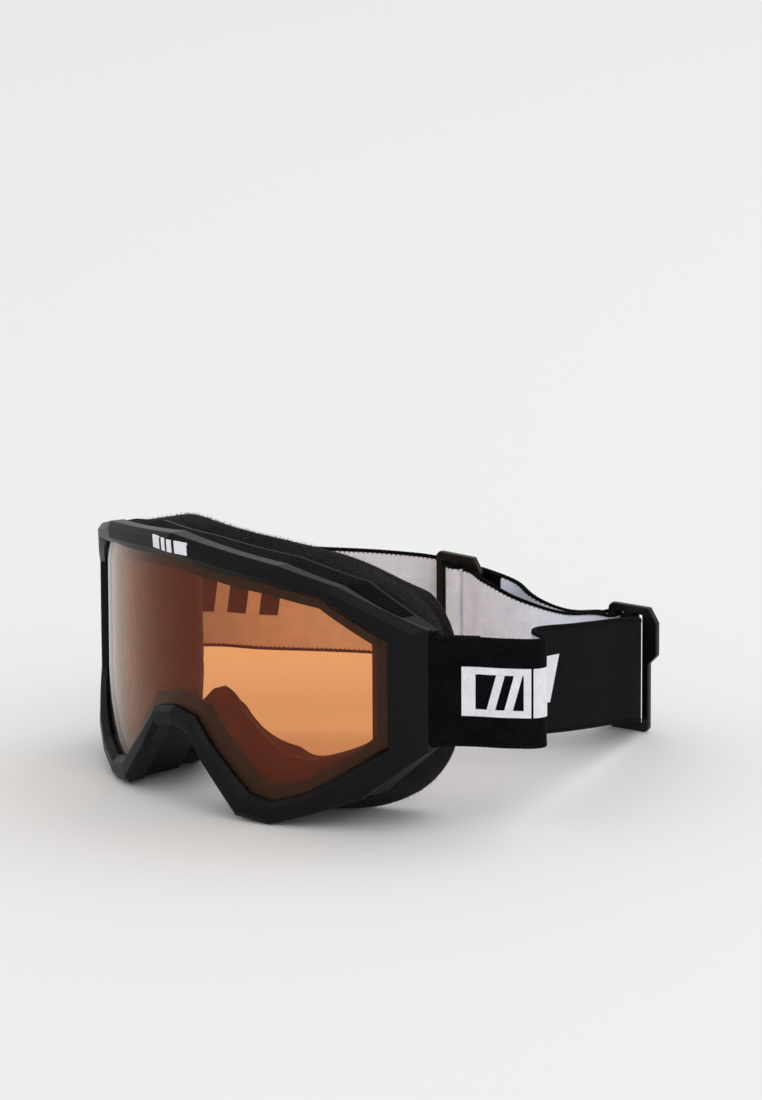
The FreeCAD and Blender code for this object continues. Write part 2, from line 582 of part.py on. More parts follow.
ring_z, slider_z = RING_MIDDLE[2] + 0.4, SLIDER_MIDDLE[2]
right_pin = around((pin_x, pin_y), turn_radius, (141.5, 190, 240, 290, 321.5), mid)
left_pin = around((-pin_x, pin_y), turn_radius, (35, 0, -45, -90, -130, -147), mid)
webbing(
    "right_strap",
    at_pin(RIGHT_START, 1) + right_pin + at_pin(RIGHT_END, 1) + RIGHT_RUN
    + threaded(ring_place, RIGHT_THREAD, ring_z) + RIGHT_TAIL,
    wide, thick)
webbing(
    "left_strap",
    at_pin(LEFT_START, -1) + left_pin + at_pin(LEFT_END, -1) + LEFT_RUN
    + threaded(slider_place, LEFT_PAST, LEFT_PAST_Z) + LEFT_BACK + threaded(ring_place, LEFT_THREAD, ring_z),
    wide, thick)
webbing(
    "return_strap",
    threaded(ring_place, RETURN_RING, ring_z) + RETURN_RUN
    + threaded(slider_place, RETURN_THREAD, RETURN_THREAD_Z),
    wide, thick)
webbing("adjuster_hump", threaded(slider_place, HUMP, slider_z), wide, thick, 0.8)

# ------------------------------------------------------------------ common origin and export
doc.recompute()
whole = FreeCAD.BoundBox()
for solid in NODES.values():
    whole.add(solid.Shape.BoundBox)
home = Vector(-whole.Center.x, -whole.Center.y, -whole.ZMin)
for solid in NODES.values():
    placed = Placement(home, Rotation()).multiply(solid.Placement)
    for path, _ in solid.ExpressionEngine:
        if "Placement" in path:
            solid.setExpression(path, None)
    solid.Placement = placed
doc.recompute()
for item in doc.Objects:
    if "Invalid" in item.State or "Error" in item.State:
        raise RuntimeError("broken object: %s %s" % (item.Label, item.State))
os.makedirs("parts", exist_ok=True)
for label, solid in NODES.items():
    shape = solid.Shape
    if shape.isNull() or not shape.isValid() or not shape.Solids:
        raise RuntimeError("no valid solid: " + label)
    shape.exportStep("parts/%s.step" % label)
    print("%-24s %8.1f mm3  %d" % (label, shape.Volume, len(shape.Solids)))
print("moved by", [round(value, 4) for value in home])
print("whole size", [round(value, 2) for value in (whole.XLength, whole.YLength, whole.ZLength)])
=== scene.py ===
"""Ski goggles: black faceted rim, amber double lens, face foam and a looped webbing strap."""

import logging
import math
from dataclasses import dataclass
from enum import Enum

import bmesh
import bpy
import numpy as np
from mathutils import Matrix, Vector


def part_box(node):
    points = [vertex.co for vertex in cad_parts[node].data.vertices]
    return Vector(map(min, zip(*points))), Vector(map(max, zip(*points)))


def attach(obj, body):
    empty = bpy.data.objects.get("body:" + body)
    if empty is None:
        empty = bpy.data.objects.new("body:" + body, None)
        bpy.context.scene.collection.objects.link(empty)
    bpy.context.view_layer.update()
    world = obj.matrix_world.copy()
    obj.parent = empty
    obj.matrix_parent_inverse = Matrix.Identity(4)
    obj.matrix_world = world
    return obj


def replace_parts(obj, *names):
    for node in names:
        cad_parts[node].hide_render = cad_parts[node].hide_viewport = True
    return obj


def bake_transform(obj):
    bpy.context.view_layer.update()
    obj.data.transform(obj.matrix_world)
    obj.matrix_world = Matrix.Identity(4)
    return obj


LOG = logging.getLogger("goggles")
MM = 0.001
Array = np.ndarray
Point = tuple[float, float, float]
Cross = tuple[Point, Point] | None
Half = tuple[tuple[float, float], ...]

# Sizes of the frames, in millimetres, with the origin at the lens's front middle on the floor.
HALF = 88.2
LENS_R = 107.9
PROUD = 3.5
TEMPLE_Y = LENS_R - math.sqrt((LENS_R + PROUD) ** 2 - HALF**2)
RIM_HALF = (
    (0, 101.2), (46, 95.8), (65.5, 89.6), (88.2, 74), (88.2, 29), (71.2, 11.3), (56.2, 4.8),
    (42.9, 0), (29.8, 1.5), (16.6, 16.9), (8.7, 27.8), (0, 30.1),
)
SIGHT_HALF = (
    (0, 92.2), (42, 88.2), (59.6, 84.7), (78.4, 69.4), (78.4, 31), (64, 18.9), (54.6, 12.6),
    (43.4, 8.4), (34.4, 10.4), (17.2, 27), (10.8, 35.1), (0, 37.2),
)
SHELL_HALF = (
    (0, 95.6), (38, 94.2), (64.5, 88.6), (87.2, 73), (87.2, 30), (70.2, 12.3), (55.2, 5.8),
    (42.9, 1), (30.8, 2.5), (17.6, 17.9), (8.7, 28.8), (0, 31.1),
)
FACE_HALF = (
    (0, 86), (40, 84.5), (60, 77), (67, 67), (67, 44), (57, 26), (33, 16.5), (19, 29), (9, 41), (0, 41),
)
# The shell's opening with its lower corners cleared, and the pad's two outlines at the face.
OPENING_HALF = (
    (0, 86), (40, 84.5), (61, 78), (71, 68), (71, 38), (63, 25.5), (52, 21.5), (33, 18.5), (20, 26.8),
    (13, 31.2), (8, 36), (4, 39.2), (0, 40.2),
)
PAD_HALF = (
    (0, 95.8), (15, 95.7), (29, 95), (40, 93.6), (48, 91.3), (54, 88.6), (61, 84.4), (74, 76.4), (80, 67),
    (82.5, 45), (81, 27), (78.5, 21), (72.5, 13.6), (66.5, 8.2), (60, 3.6), (50, 0.6), (42.9, 0.6),
    (30.8, 2.5), (17.6, 17.9), (8.7, 28.8), (0, 31.1),
)
INNER_HALF = (
    (0, 86), (34, 84), (52, 77), (60.5, 66), (60.5, 44), (55, 26.5), (45, 21.5), (34, 17.4), (27, 16.8),
    (21, 18.5), (14, 26), (8, 34), (0, 36),
)
# Arcs in plan: depth on the mid plane, and distance behind the rim's front at the temple.
SPLIT_ARC = (5.9, 3.2)
SEAT_ARC = (23.5, 10.2)


def home() -> Array:
    """Place of the lens's front middle in the shared frame, in millimetres.

    Returns:
        The point (x, y, z), read from the rim's own box.
    """
    low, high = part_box("front_frame")
    return np.array([(low.x + high.x) / 2, low.y + PROUD * MM, low.z]) / MM


def arc_depth(x: Array, apex: float, behind: float, shrink: float = 0.0) -> Array:
    """Depth of the flat arcs that split and seat the frames.

    The arc goes through `apex` on the mid plane and `behind` the rim's front at the temple:
    depth = middle - square root of (radius squared - x squared).

    Args:
        x: Distances from the mid plane.
        apex: Depth on the mid plane.
        behind: Distance behind the rim's front at the temple.
        shrink: How much smaller the radius is, which moves the arc back.

    Returns:
        Depth y at each x.
    """
    sag = TEMPLE_Y + behind - apex
    radius = (HALF**2 + sag**2) / (2 * sag)
    return apex + radius - np.sqrt(np.maximum((radius - shrink) ** 2 - x**2, 1.0))


def lens_depth(x: Array, off: Array) -> Array:
    """Depth of a surface `off` outside the lens: radius - root of ((radius + off) squared - x squared)."""
    return LENS_R - np.sqrt(np.maximum((LENS_R + off) ** 2 - x**2, 1.0))


def both_sides(half: Half) -> Array:
    """Closed outline from its +X half: the half, then its mirror image backwards."""
    points = np.array(half, float)
    return np.vstack([points, (points * (-1, 1))[-2:0:-1]])


# ---------------------------------------------------------------- meshes
def placed(name: str, data: bpy.types.ID) -> bpy.types.Object:
    """New object that holds some data, linked to the scene at the origin."""
    made = bpy.data.objects.new(name, data)
    bpy.context.scene.collection.objects.link(made)
    return made


def new_piece(name: str, verts: Array, faces: Array | list, smooth: bool = True) -> bpy.types.Object:
    """Object from points in millimetres about the lens's front middle.

    Args:
        name: Name of the piece.
        verts: Points, one row each.
        faces: Corner numbers, one row each.
        smooth: Whether faces are shaded smooth.

    Returns:
        The linked object, at the origin, its place in its mesh.
    """
    mesh = bpy.data.meshes.new(name)
    corners = faces.tolist() if isinstance(faces, np.ndarray) else faces
    mesh.from_pydata(((np.asarray(verts) + home()) * MM).tolist(), [], corners)
    mesh.polygons.foreach_set("use_smooth", np.full(len(mesh.polygons), smooth))
    return placed(name, mesh)


def grid_faces(rows: int, columns: int, loop_rows: bool, loop_columns: bool) -> Array:
    """Quads of a grid of points, row by row.

    Args:
        rows: Number of rows.
        columns: Number of columns.
        loop_rows: Whether the last row joins the first.
        loop_columns: Whether the last column joins the first.

    Returns:
        Four corner numbers for each quad.
    """
    row = np.arange(rows if loop_rows else rows - 1)[:, None]
    column = np.arange(columns if loop_columns else columns - 1)[None, :]
    below, beside = (row + 1) % rows, (column + 1) % columns
    corners = ((row, column), (below, column), (below, beside), (row, beside))
    return np.stack([r * columns + c for r, c in corners], -1).reshape(-1, 4)


def outward(piece: bpy.types.Object) -> bpy.types.Object:
    """Turns the faces of a closed piece outwards.

    Args:
        piece: The piece.

    Returns:
        The same piece.
    """
    work = bmesh.new()
    work.from_mesh(piece.data)
    bmesh.ops.recalc_face_normals(work, faces=work.faces)
    work.to_mesh(piece.data)
    work.free()
    return piece


def tube_ends(rows: int, columns: int) -> list[list[int]]:
    """The two faces that close a grid of `rows` closed rings."""
    return [list(range(columns)), list(range((rows - 1) * columns, rows * columns))[::-1]]


def eased_copy(node: str, name: str, width: float, segments: int = 2) -> bpy.types.Object:
    """Copy of a CAD node whose edges are eased, standing for it.

    Args:
        node: CAD node.
        name: Name of the piece.
        width: Width of the eased edge, in millimetres.
        segments: Steps across the eased edge.

    Returns:
        The new piece, with the node hidden.
    """
    piece = placed(name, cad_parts[node].data.copy())
    work = bmesh.new()
    work.from_mesh(piece.data)
    bmesh.ops.remove_doubles(work, verts=work.verts, dist=2e-6)
    bmesh.ops.dissolve_limit(work, angle_limit=math.radians(0.6), verts=work.verts, edges=work.edges)
    work.to_mesh(piece.data)
    work.free()
    bevel = piece.modifiers.new("eased edges", "BEVEL")
    bevel.width = width * MM
    bevel.segments = segments
    bevel.limit_method = "ANGLE"
    bevel.angle_limit = math.radians(25)
    bevel.use_clamp_overlap = True
    bevel.harden_normals = True
    piece.data.polygons.foreach_set("use_smooth", np.ones(len(piece.data.polygons), bool))
    piece.data.set_sharp_from_angle(angle=math.radians(30))
    piece.data.materials.clear()
    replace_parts(piece, node)
    return piece


def wrap_round(piece: bpy.types.Object, place: Array) -> None:
    """Stores distances along and across the webbing as the piece's own UV map, in metres.

    Args:
        piece: The piece.
        place: Those distances for each of its points, in millimetres.
    """
    layer = piece.data.uv_layers.new(name="webbing")
    corner = np.empty(len(piece.data.loops), np.int32)
    piece.data.loops.foreach_get("vertex_index", corner)
    layer.data.foreach_set("uv", (place[corner] * MM).reshape(-1).astype(np.float32))


def surface_normals(points: Array) -> Array:
    """Unit normals of a closed ring of sections, from the cross product of its two directions.

    They are turned so that the middle of the section looks backwards, towards the face.

    Args:
        points: Grid of points, stations by section points.

    Returns:
        One normal per point.
    """
    normal = np.cross(np.roll(points, -1, 0) - np.roll(points, 1, 0), np.gradient(points, axis=1))
    normal /= np.maximum(np.linalg.norm(normal, axis=-1, keepdims=True), 1e-9)
    return -normal if normal[:, points.shape[1] // 2, 1].mean() < 0 else normal


def dress(
    piece: bpy.types.Object, finish: "Finish", sharp: float | None = None
) -> bpy.types.Object:
    """Gives a closed piece its finish.

    Args:
        piece: The piece.
        finish: Its finish.
        sharp: Angle in degrees past which its edges are sharp, or none.

    Returns:
        The piece, with its faces turned outwards.
    """
    outward(piece)
    if sharp is not None:
        piece.data.set_sharp_from_angle(angle=math.radians(sharp))
    piece.data.materials.append(finish.build())
    return piece


# ---------------------------------------------------------------- finishes
PER_METRE = 1000.0  # millimetres in a metre, so a texture's scale is this over its size
UNEVEN_GLOSS = 0.06  # how far roughness strays from its middle value
WEFT_PITCH = 0.62  # the lengthwise wave's pitch, as a share of the crosswise one


def linear(text: str) -> tuple[float, float, float, float]:
    """Linear colour from an sRGB hex value such as "1a1a1c"."""
    parts = [int(text[k : k + 2], 16) / 255 for k in (0, 2, 4)]
    return (*[p / 12.92 if p <= 0.04045 else ((p + 0.055) / 1.055) ** 2.4 for p in parts], 1.0)


def plug(tree: bpy.types.NodeTree, node: bpy.types.Node, links: dict) -> None:
    """Sets or links a node's sockets.

    Args:
        tree: Node tree.
        node: The node.
        links: Socket name or number to the value it gets, or to the output socket linked to it.
    """
    for key, value in links.items():
        if isinstance(value, bpy.types.NodeSocket):
            tree.links.new(value, node.inputs[key])
        else:
            node.inputs[key].default_value = value


def add_node(
    tree: bpy.types.NodeTree, kind: str, links: dict | None = None, **settings: object
) -> bpy.types.Node:
    """Adds one shader node.

    Args:
        tree: Node tree.
        kind: Type without its "ShaderNode" start.
        links: Socket name or number to the value it gets, or to the output socket linked to it.
        **settings: Attributes of the node.

    Returns:
        The node.
    """
    made = tree.nodes.new("ShaderNode" + kind)
    for key, value in settings.items():
        setattr(made, key, value)
    plug(tree, made, links or {})
    return made


def new_material(name: str) -> bpy.types.Material:
    """Material with the standard surface node."""
    material = bpy.data.materials.new(name)
    material.use_nodes = True
    return material


class Pattern(Enum):
    """How a finish's relief is made."""

    GRAIN = "moulded grain"
    FOAM = "open cells"
    FELT = "brushed felt"
    WEAVE = "ribbed weave"
    THREAD = "wound thread"


@dataclass(frozen=True)
class Finish:
    """One surface finish: colour, gloss and relief, with sizes in millimetres."""

    name: str
    colour: str
    light: str
    roughness: float
    relief: Pattern
    cell: float
    depth: float
    blotch: float = 12.0
    specular: float = 0.5
    sheen: float = 0.0

    def build(self) -> bpy.types.Material:
        """Material with blotchy colour, uneven gloss and relief worked out on the surface.

        Returns:
            The material, made once for each name.
        """
        if self.name in bpy.data.materials:
            return bpy.data.materials[self.name]
        material = new_material(self.name)
        tree = material.node_tree
        spot = add_node(tree, "TexCoord").outputs["Object"]
        cloud, speck = (
            add_node(tree, "TexNoise", {"Vector": spot, "Scale": PER_METRE / size, "Detail": fine}).outputs[0]
            for size, fine in ((self.blotch, 4.0), (self.cell, 2.0))
        )
        mottle = add_node(tree, "Math", {0: cloud, 1: speck}, operation="MULTIPLY")
        spread = add_node(tree, "MapRange", {"Value": mottle.outputs[0], "From Min": 0.12, "From Max": 0.42})
        ends = {0: spread.outputs[0], 6: linear(self.colour), 7: linear(self.light)}
        tint = add_node(tree, "Mix", ends, data_type="RGBA")
        gloss = add_node(tree, "MapRange", {
            "Value": cloud, "To Min": self.roughness - UNEVEN_GLOSS,
            "To Max": min(1.0, self.roughness + UNEVEN_GLOSS),
        })
        relief = add_node(tree, "Bump", {
            "Height": self.height(tree, spot, speck), "Distance": self.depth * MM, "Strength": 1.0,
        })
        plug(tree, tree.nodes["Principled BSDF"], {
            "Base Color": tint.outputs[2], "Roughness": gloss.outputs[0], "Normal": relief.outputs[0],
            "IOR": 1.5, "Specular IOR Level": self.specular,
            "Sheen Weight": self.sheen, "Sheen Roughness": 0.5,
        })
        return material

    def height(
        self, tree: bpy.types.NodeTree, spot: bpy.types.NodeSocket, speck: bpy.types.NodeSocket
    ) -> bpy.types.NodeSocket:
        """Relief from 0 to 1, by the kind of surface; grain and felt take the fine noise itself.

        Weave and thread add two waves, one across the webbing and one along it, to the noise.

        Args:
            tree: Node tree.
            spot: Object coordinates.
            speck: Fine noise that the colour uses too.

        Returns:
            Output socket of the height.
        """
        if self.relief is Pattern.FOAM:
            cells = add_node(tree, "TexVoronoi", {"Vector": spot, "Scale": PER_METRE / self.cell})
            return cells.outputs["Distance"]
        if self.relief not in (Pattern.WEAVE, Pattern.THREAD):
            return speck
        place = add_node(tree, "UVMap", uv_map="webbing")
        parts = add_node(tree, "SeparateXYZ", {0: place.outputs[0]})
        waves = []
        for axis, pitch in ((1, self.cell), (0, self.cell * WEFT_PITCH)):
            phase = {0: parts.outputs[axis], 1: 2 * math.pi * PER_METRE / pitch}
            turn = add_node(tree, "Math", phase, operation="MULTIPLY")
            waves.append(add_node(tree, "Math", {0: turn.outputs[0]}, operation="SINE"))
        share = 0.8 if self.relief is Pattern.WEAVE else 0.35
        ribs = add_node(tree, "Math", {0: waves[0].outputs[0], 1: share}, operation="MULTIPLY")
        both = add_node(tree, "Math", {0: ribs.outputs[0], 1: waves[1].outputs[0]}, operation="ADD")
        rough = add_node(tree, "Math", {0: both.outputs[0], 1: speck}, operation="ADD")
        level = add_node(tree, "MapRange", {"Value": rough.outputs[0], "From Min": -2.0, "From Max": 3.0})
        return level.outputs[0]


@dataclass(frozen=True)
class AmberPane:
    """Amber lens plastic: tinted and clear, with a polished skin."""

    name: str
    tint: tuple[float, float, float, float]
    haze: float
    roughness: float
    facing_shine: float
    grazing_shine: float
    dye: tuple[float, float, float, float] = (0.80, 0.20, 0.11, 1.0)

    def build(self) -> bpy.types.Material:
        """Tinted clear body, a little cloudy with dye, under a polished skin.

        The skin's share of mirror is the facing share plus the rest times the fifth power of
        one minus the cosine of the view's angle, the same for both sides of the wall.

        Returns:
            The material.
        """
        material = new_material(self.name)
        tree = material.node_tree
        tree.nodes.remove(tree.nodes["Principled BSDF"])
        through = add_node(tree, "BsdfTransparent", {"Color": self.tint})
        shine = add_node(tree, "BsdfGlossy", {"Color": (1, 1, 1, 1), "Roughness": self.roughness})
        angle = add_node(tree, "LayerWeight", {"Blend": 0.5})
        steep = add_node(tree, "Math", {0: angle.outputs["Facing"], 1: 5.0}, operation="POWER")
        edge = add_node(tree, "MapRange", {
            "Value": steep.outputs[0], "To Min": self.facing_shine, "To Max": self.grazing_shine,
        })
        dye = add_node(tree, "BsdfDiffuse", {"Color": self.dye})
        cloudy = add_node(tree, "MixShader", {0: self.haze, 1: through.outputs[0], 2: dye.outputs[0]})
        mixed = add_node(tree, "MixShader", {0: edge.outputs[0], 1: cloudy.outputs[0], 2: shine.outputs[0]})
        plug(tree, tree.nodes["Material Output"], {"Surface": mixed.outputs[0]})
        return material


# Name, dark and light colour, roughness, relief, cell, depth, blotch, specular, sheen.
# Injection-moulded nylon with a fine spark texture: near black, a soft wide highlight.
RIM_PLASTIC = Finish("rim moulded matte nylon", "07080a", "0c0d0f", 0.38, Pattern.GRAIN, 0.3, 0.01, 25, 0.13)
# The rear shell comes from a rougher mould and looks a little darker.
SHELL_PLASTIC = Finish(
    "shell moulded matte nylon", "070708", "0c0c0d", 0.48, Pattern.GRAIN, 0.35, 0.012, 20, 0.14
)
# Moulded acetal buckles: a brighter highlight than the frame's.
BUCKLE_PLASTIC = Finish("buckle moulded acetal", "0c0c0e", "131315", 0.38, Pattern.GRAIN, 0.40, 0.008, 9, 0.3)
# Reticulated polyurethane foam: dull, brownish where light gets into its fibres.
FACE_FOAM = Finish("face foam open cell", "070605", "150f0c", 0.95, Pattern.FOAM, 0.9, 0.35, 7, 0.08, 0.04)
# Brushed polyester fleece, a little lighter than the foam.
FLEECE = Finish("face fleece brushed", "0c0a09", "1d1613", 0.95, Pattern.FELT, 0.5, 0.2, 5, 0.06, 0.08)
VENT_FOAM = Finish("vent foam reticulated", "060606", "101010", 0.95, Pattern.FOAM, 1.2, 0.4, 6, 0.08)
# Closed-cell tape between the panes.
TAPE = Finish("spacer tape", "0b0909", "141112", 0.8, Pattern.GRAIN, 0.6, 0.03, 10, 0.3)
# Elastic jacquard webbing: fine lengthwise ribs, hardly any gloss, and a brushed felt inside.
WEBBING_BLACK = Finish("webbing black jacquard", "040405", "101013", 0.92, Pattern.WEAVE, 1.15, 0.16, 8, 0.07)
WEBBING_FELT = Finish("webbing white felt", "e0e4f0", "f8f9ff", 0.95, Pattern.FELT, 0.55, 0.10, 6, 0.1, 0.05)
THREAD_BLACK = Finish("overlock thread black", "070708", "101012", 0.85, Pattern.GRAIN, 0.35, 0.05, 4, 0.12)
THREAD_WHITE = Finish(
    "embroidery thread white", "dcdee4", "f4f5f8", 0.7, Pattern.THREAD, 0.55, 0.14, 5, 0.3, 0.1
)
# Name, tint, haze, roughness, mirror share facing and at a grazing angle. The inner pane's coating is dull.
LENS_OUTER = AmberPane("outer pane amber polycarbonate", (1.0, 0.82, 0.645, 1.0), 0.01, 0.03, 0.010, 0.95)
LENS_INNER = AmberPane("inner pane amber acetate", (1.0, 0.82, 0.65, 1.0), 0.052, 0.05, 0.003, 0.15)


# ---------------------------------------------------------------- rim
SPLIT_FACE = 99.0  # stands for an offset: the flat face where the rim meets the rear shell
SPLIT_EASED = 98.0  # the same face, with its edge eased back


@dataclass
class Rim:
    """Faceted front rim: a section swept round the lens between the two outlines."""

    steps: int = 10  # points from one corner to the next
    facet: float = 0.62  # share of the straight line between corners in a facet's depth
    flush: float = 1.2  # offsets up to this follow the lens and have no facets
    eased_back: float = 0.35
    clearance: float = 0.2
    mark_bars: tuple[tuple[float, float], ...] = ((-9.2, -5.0), (-3.6, -1.4), (0.0, 2.2), (3.6, 9.4))
    mark_height: tuple[float, float] = (94.4, 98.9)
    mark_depth: tuple[float, float] = (0.5, -0.14)
    mark_lean: float = 0.1
    mark_middle: float = 96.7
    brow_corner: float = 44.0
    section: tuple[Point, ...] = (
        # share of the width, distance added to it, offset from the lens or a split face
        (0.0, 0.0, 0.05), (0.0, 0.0, 0.75), (0.0, 0.15, 1.05), (0.0, 1.9, 3.05), (0.0, 2.5, 3.4),
        (0.5, 0.9, 3.5), (1.0, -2.6, 3.5), (1.0, -2.3, 3.42), (1.0, -0.35, 1.95), (1.0, -0.1, 1.5),
        (1.0, -0.5, SPLIT_EASED), (1.0, -0.9, SPLIT_FACE), (0.5, 1.2, SPLIT_FACE),
        (0.0, 2.5, SPLIT_FACE), (0.0, 2.45, 0.05),
    )

    def build(self) -> bpy.types.Object:
        """Sweeps the section; depths are part cylinder, part straight between corners, for facets.

        Returns:
            The rim, standing for its CAD node.
        """
        inner, outer = both_sides(SIGHT_HALF), both_sides(RIM_HALF)
        share = (np.arange(self.steps) / self.steps)[None, :, None]
        start, end = (
            ring[:, None] * (1 - share) + np.roll(ring, -1, 0)[:, None] * share for ring in (inner, outer)
        )
        width = np.linalg.norm(end - start, axis=-1, keepdims=True)
        way = (end - start) / width
        rings = []
        for portion, extra, off in self.section:
            flat = start + way * (width * portion + extra)
            x = flat[..., 0]
            if off >= SPLIT_EASED:
                back = arc_depth(x, *SPLIT_ARC) - (SPLIT_FACE - off) * self.eased_back
                level = np.maximum(back, lens_depth(x, np.zeros_like(x)) + self.clearance)
            else:
                level = lens_depth(x, np.full_like(x, off))
                if off > self.flush:
                    corner = level[:, :1]
                    chord = corner * (1 - share[..., 0]) + np.roll(corner, -1, 0) * share[..., 0]
                    level = level * (1 - self.facet) + chord * self.facet
            rings.append(np.stack([x, level, flat[..., 1]], -1).reshape(len(inner) * self.steps, 3))
        points = np.stack(rings, 1)
        rows, columns = points.shape[:2]
        piece = new_piece("front_rim", points.reshape(-1, 3), grid_faces(rows, columns, True, True))
        dress(piece, RIM_PLASTIC, 9)
        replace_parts(piece, "front_frame")
        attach(piece, "goggles")
        return piece

    def brow_mark(self) -> bpy.types.Object:
        """Small plain leaning bars on the brow, raised by 0.14 mm.

        Returns:
            The mark, on the front face of the rim.
        """
        x = np.array(self.mark_bars)[:, :, None, None]
        z = np.array(self.mark_height)[None, None, :, None]
        ends = np.array([0.0, self.brow_corner])
        front, corner = lens_depth(x, np.full(x.shape, PROUD)), lens_depth(ends, np.full(2, PROUD))
        share = np.abs(x) / self.brow_corner
        level = front * (1 - self.facet) + (corner[0] * (1 - share) + corner[1] * share) * self.facet
        y = level + np.array(self.mark_depth)[None, None, None, :]
        lean = (z - self.mark_middle) * self.mark_lean
        verts = np.stack(np.broadcast_arrays(x - lean, y, z), -1).reshape(-1, 3)
        box = np.array([(0, 1, 3, 2), (4, 6, 7, 5), (0, 4, 5, 1), (2, 3, 7, 6), (0, 2, 6, 4), (1, 5, 7, 3)])
        faces = ((np.arange(len(x)) * 8)[:, None, None] + box[None]).reshape(-1, 4)
        piece = dress(new_piece("brow_mark", verts, faces, False), THREAD_WHITE)
        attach(piece, "goggles")
        return piece


# ---------------------------------------------------------------- face foam
@dataclass
class FacePad:
    """Face padding: a soft roll round the opening, from the shell's seat to the face."""

    stations: int = 260
    middle: tuple[float, float] = (0.0, 60.0)
    face_middle: float = 128.0
    face_radius: float = 89.4
    deepest: float = 67.0
    roll: tuple[Point, ...] = (
        # share of the width, distance added in millimetres, share of the depth
        (0.0, 0.9, 0.0), (0.0, 0.3, 0.10), (0.0, -0.3, 0.28), (0.0, -0.7, 0.46), (0.0, -0.6, 0.62),
        (0.0, 0.3, 0.80), (0.0, 2.4, 0.92), (0.1, 4.2, 0.98), (0.5, 2.0, 1.0), (1.0, -4.0, 0.99),
        (1.0, -1.6, 0.95), (1.0, -0.2, 0.84), (1.0, 0.0, 0.6), (1.0, -0.1, 0.3), (1.0, -0.3, 0.0),
    )
    unevenness: float = 0.22
    seat_gap: float = 0.35
    off_floor: float = 0.35
    least_depth: float = 6.5
    face_reach: float = 82.0  # the face's arc is level beyond this distance from the mid plane
    flank: Point = (26.0, 77.0, 84.5)  # between these heights the side is flat, at this distance
    flare_ends: float = 0.62
    flare_power: float = 1.3
    bridge_start: float = 7.0
    bridge_width: float = 15.0
    bridge_depth: float = 0.22
    bridge_top: float = 52.0
    lined_from: float = 0.52
    lining_before: int = 8
    lining_after: int = 14
    lining_edge: float = 0.15
    lining_puff: float = 0.55
    lining_sink: float = 0.3
    fibre_thin: float = 0.07
    fibre_stray: float = 0.45
    fibre_length: tuple[float, float] = (0.5, 1.5)
    fibre_root: float = 0.2
    fibre_floor: float = 0.3
    fibred_to: float = 0.62
    strap_window: tuple[float, float, float, float] = (84.9, 27.0, 75.0, 60.0)
    seed: int = 7

    def radial(self, half: Half, angles: Array, soften: int) -> Array:
        """Distance from the middle to an outline, by angle.

        Each ray meets the outline's segments where the cross products vanish; the nearest hit
        ahead counts. The distances are then averaged over a few neighbours to round the corners.

        Args:
            half: Corners of the outline's +X half.
            angles: Angles from straight up.
            soften: How many neighbours on each side are averaged.

        Returns:
            One distance per angle.
        """
        ring = both_sides(half) - self.middle
        after = np.roll(ring, -1, 0) - ring
        way = np.stack([np.sin(angles), np.cos(angles)], -1)
        cross = way[:, None, 0] * after[None, :, 1] - way[:, None, 1] * after[None, :, 0]
        cross = np.where(np.abs(cross) < 1e-9, 1e-9, cross)
        reach = (ring[None, :, 0] * after[None, :, 1] - ring[None, :, 1] * after[None, :, 0]) / cross
        share = (ring[None, :, 0] * way[:, None, 1] - ring[None, :, 1] * way[:, None, 0]) / cross
        hit = np.where((share >= -1e-6) & (share <= 1 + 1e-6) & (reach > 0), reach, np.inf).min(1)
        window = np.hanning(2 * soften + 3)[1:-1]
        padded = np.concatenate([hit[-soften:], hit, hit[:soften]])
        return np.convolve(padded, window / window.sum(), "valid")

    def surface(self) -> Array:
        """Points of the roll, as stations by points of the section.

        The section is rounded by cutting its corners twice. From the seat to the flare's end the
        two outlines change from the shell's to the pad's own. Over the nose the roll is shallower.

        Returns:
            Grid of points.
        """
        angles = np.linspace(0, 2 * math.pi, self.stations, endpoint=False)
        outer, inner, pad_outer, pad_inner = (
            self.radial(half, angles, soften)[:, None]
            for half, soften in ((SHELL_HALF, 4), (OPENING_HALF, 5), (PAD_HALF, 4), (INNER_HALF, 6))
        )
        roll = np.array(self.roll)
        for _ in range(2):
            cuts = np.stack([roll[:-1] * 0.75 + roll[1:] * 0.25, roll[:-1] * 0.25 + roll[1:] * 0.75], 1)
            roll = np.vstack([roll[:1], cuts.reshape(-1, 3), roll[-1:]])
        share, extra, deep = roll.T
        grow = np.clip(deep / self.flare_ends, 0, 1) ** self.flare_power
        outside = outer * (1 - grow) + pad_outer * grow
        inside = inner * (1 - grow) + pad_inner * grow
        reach = outside - (outside - inside) * share[None] - extra[None]
        x = self.middle[0] + np.sin(angles)[:, None] * reach
        z = self.middle[1] + np.cos(angles)[:, None] * reach
        seat = arc_depth(x, *SEAT_ARC, self.seat_gap)
        face = self.face_middle - np.sqrt(self.face_radius**2 - np.minimum(np.abs(x), self.face_reach) ** 2)
        face = np.maximum(np.minimum(face, self.deepest), seat + self.least_depth)
        bridge = np.clip((np.abs(x) - self.bridge_start) / self.bridge_width, 0, 1) ** 2
        bridge = np.where(z < self.bridge_top, bridge * (1 - self.bridge_depth) + self.bridge_depth, 1.0)
        y = seat + (face - seat) * deep[None] * bridge
        low, high, side = self.flank
        x = np.where((z > low) & (z < high), np.clip(x, -side, side), x)
        return np.stack([x, y, np.maximum(z, self.off_floor)], -1)

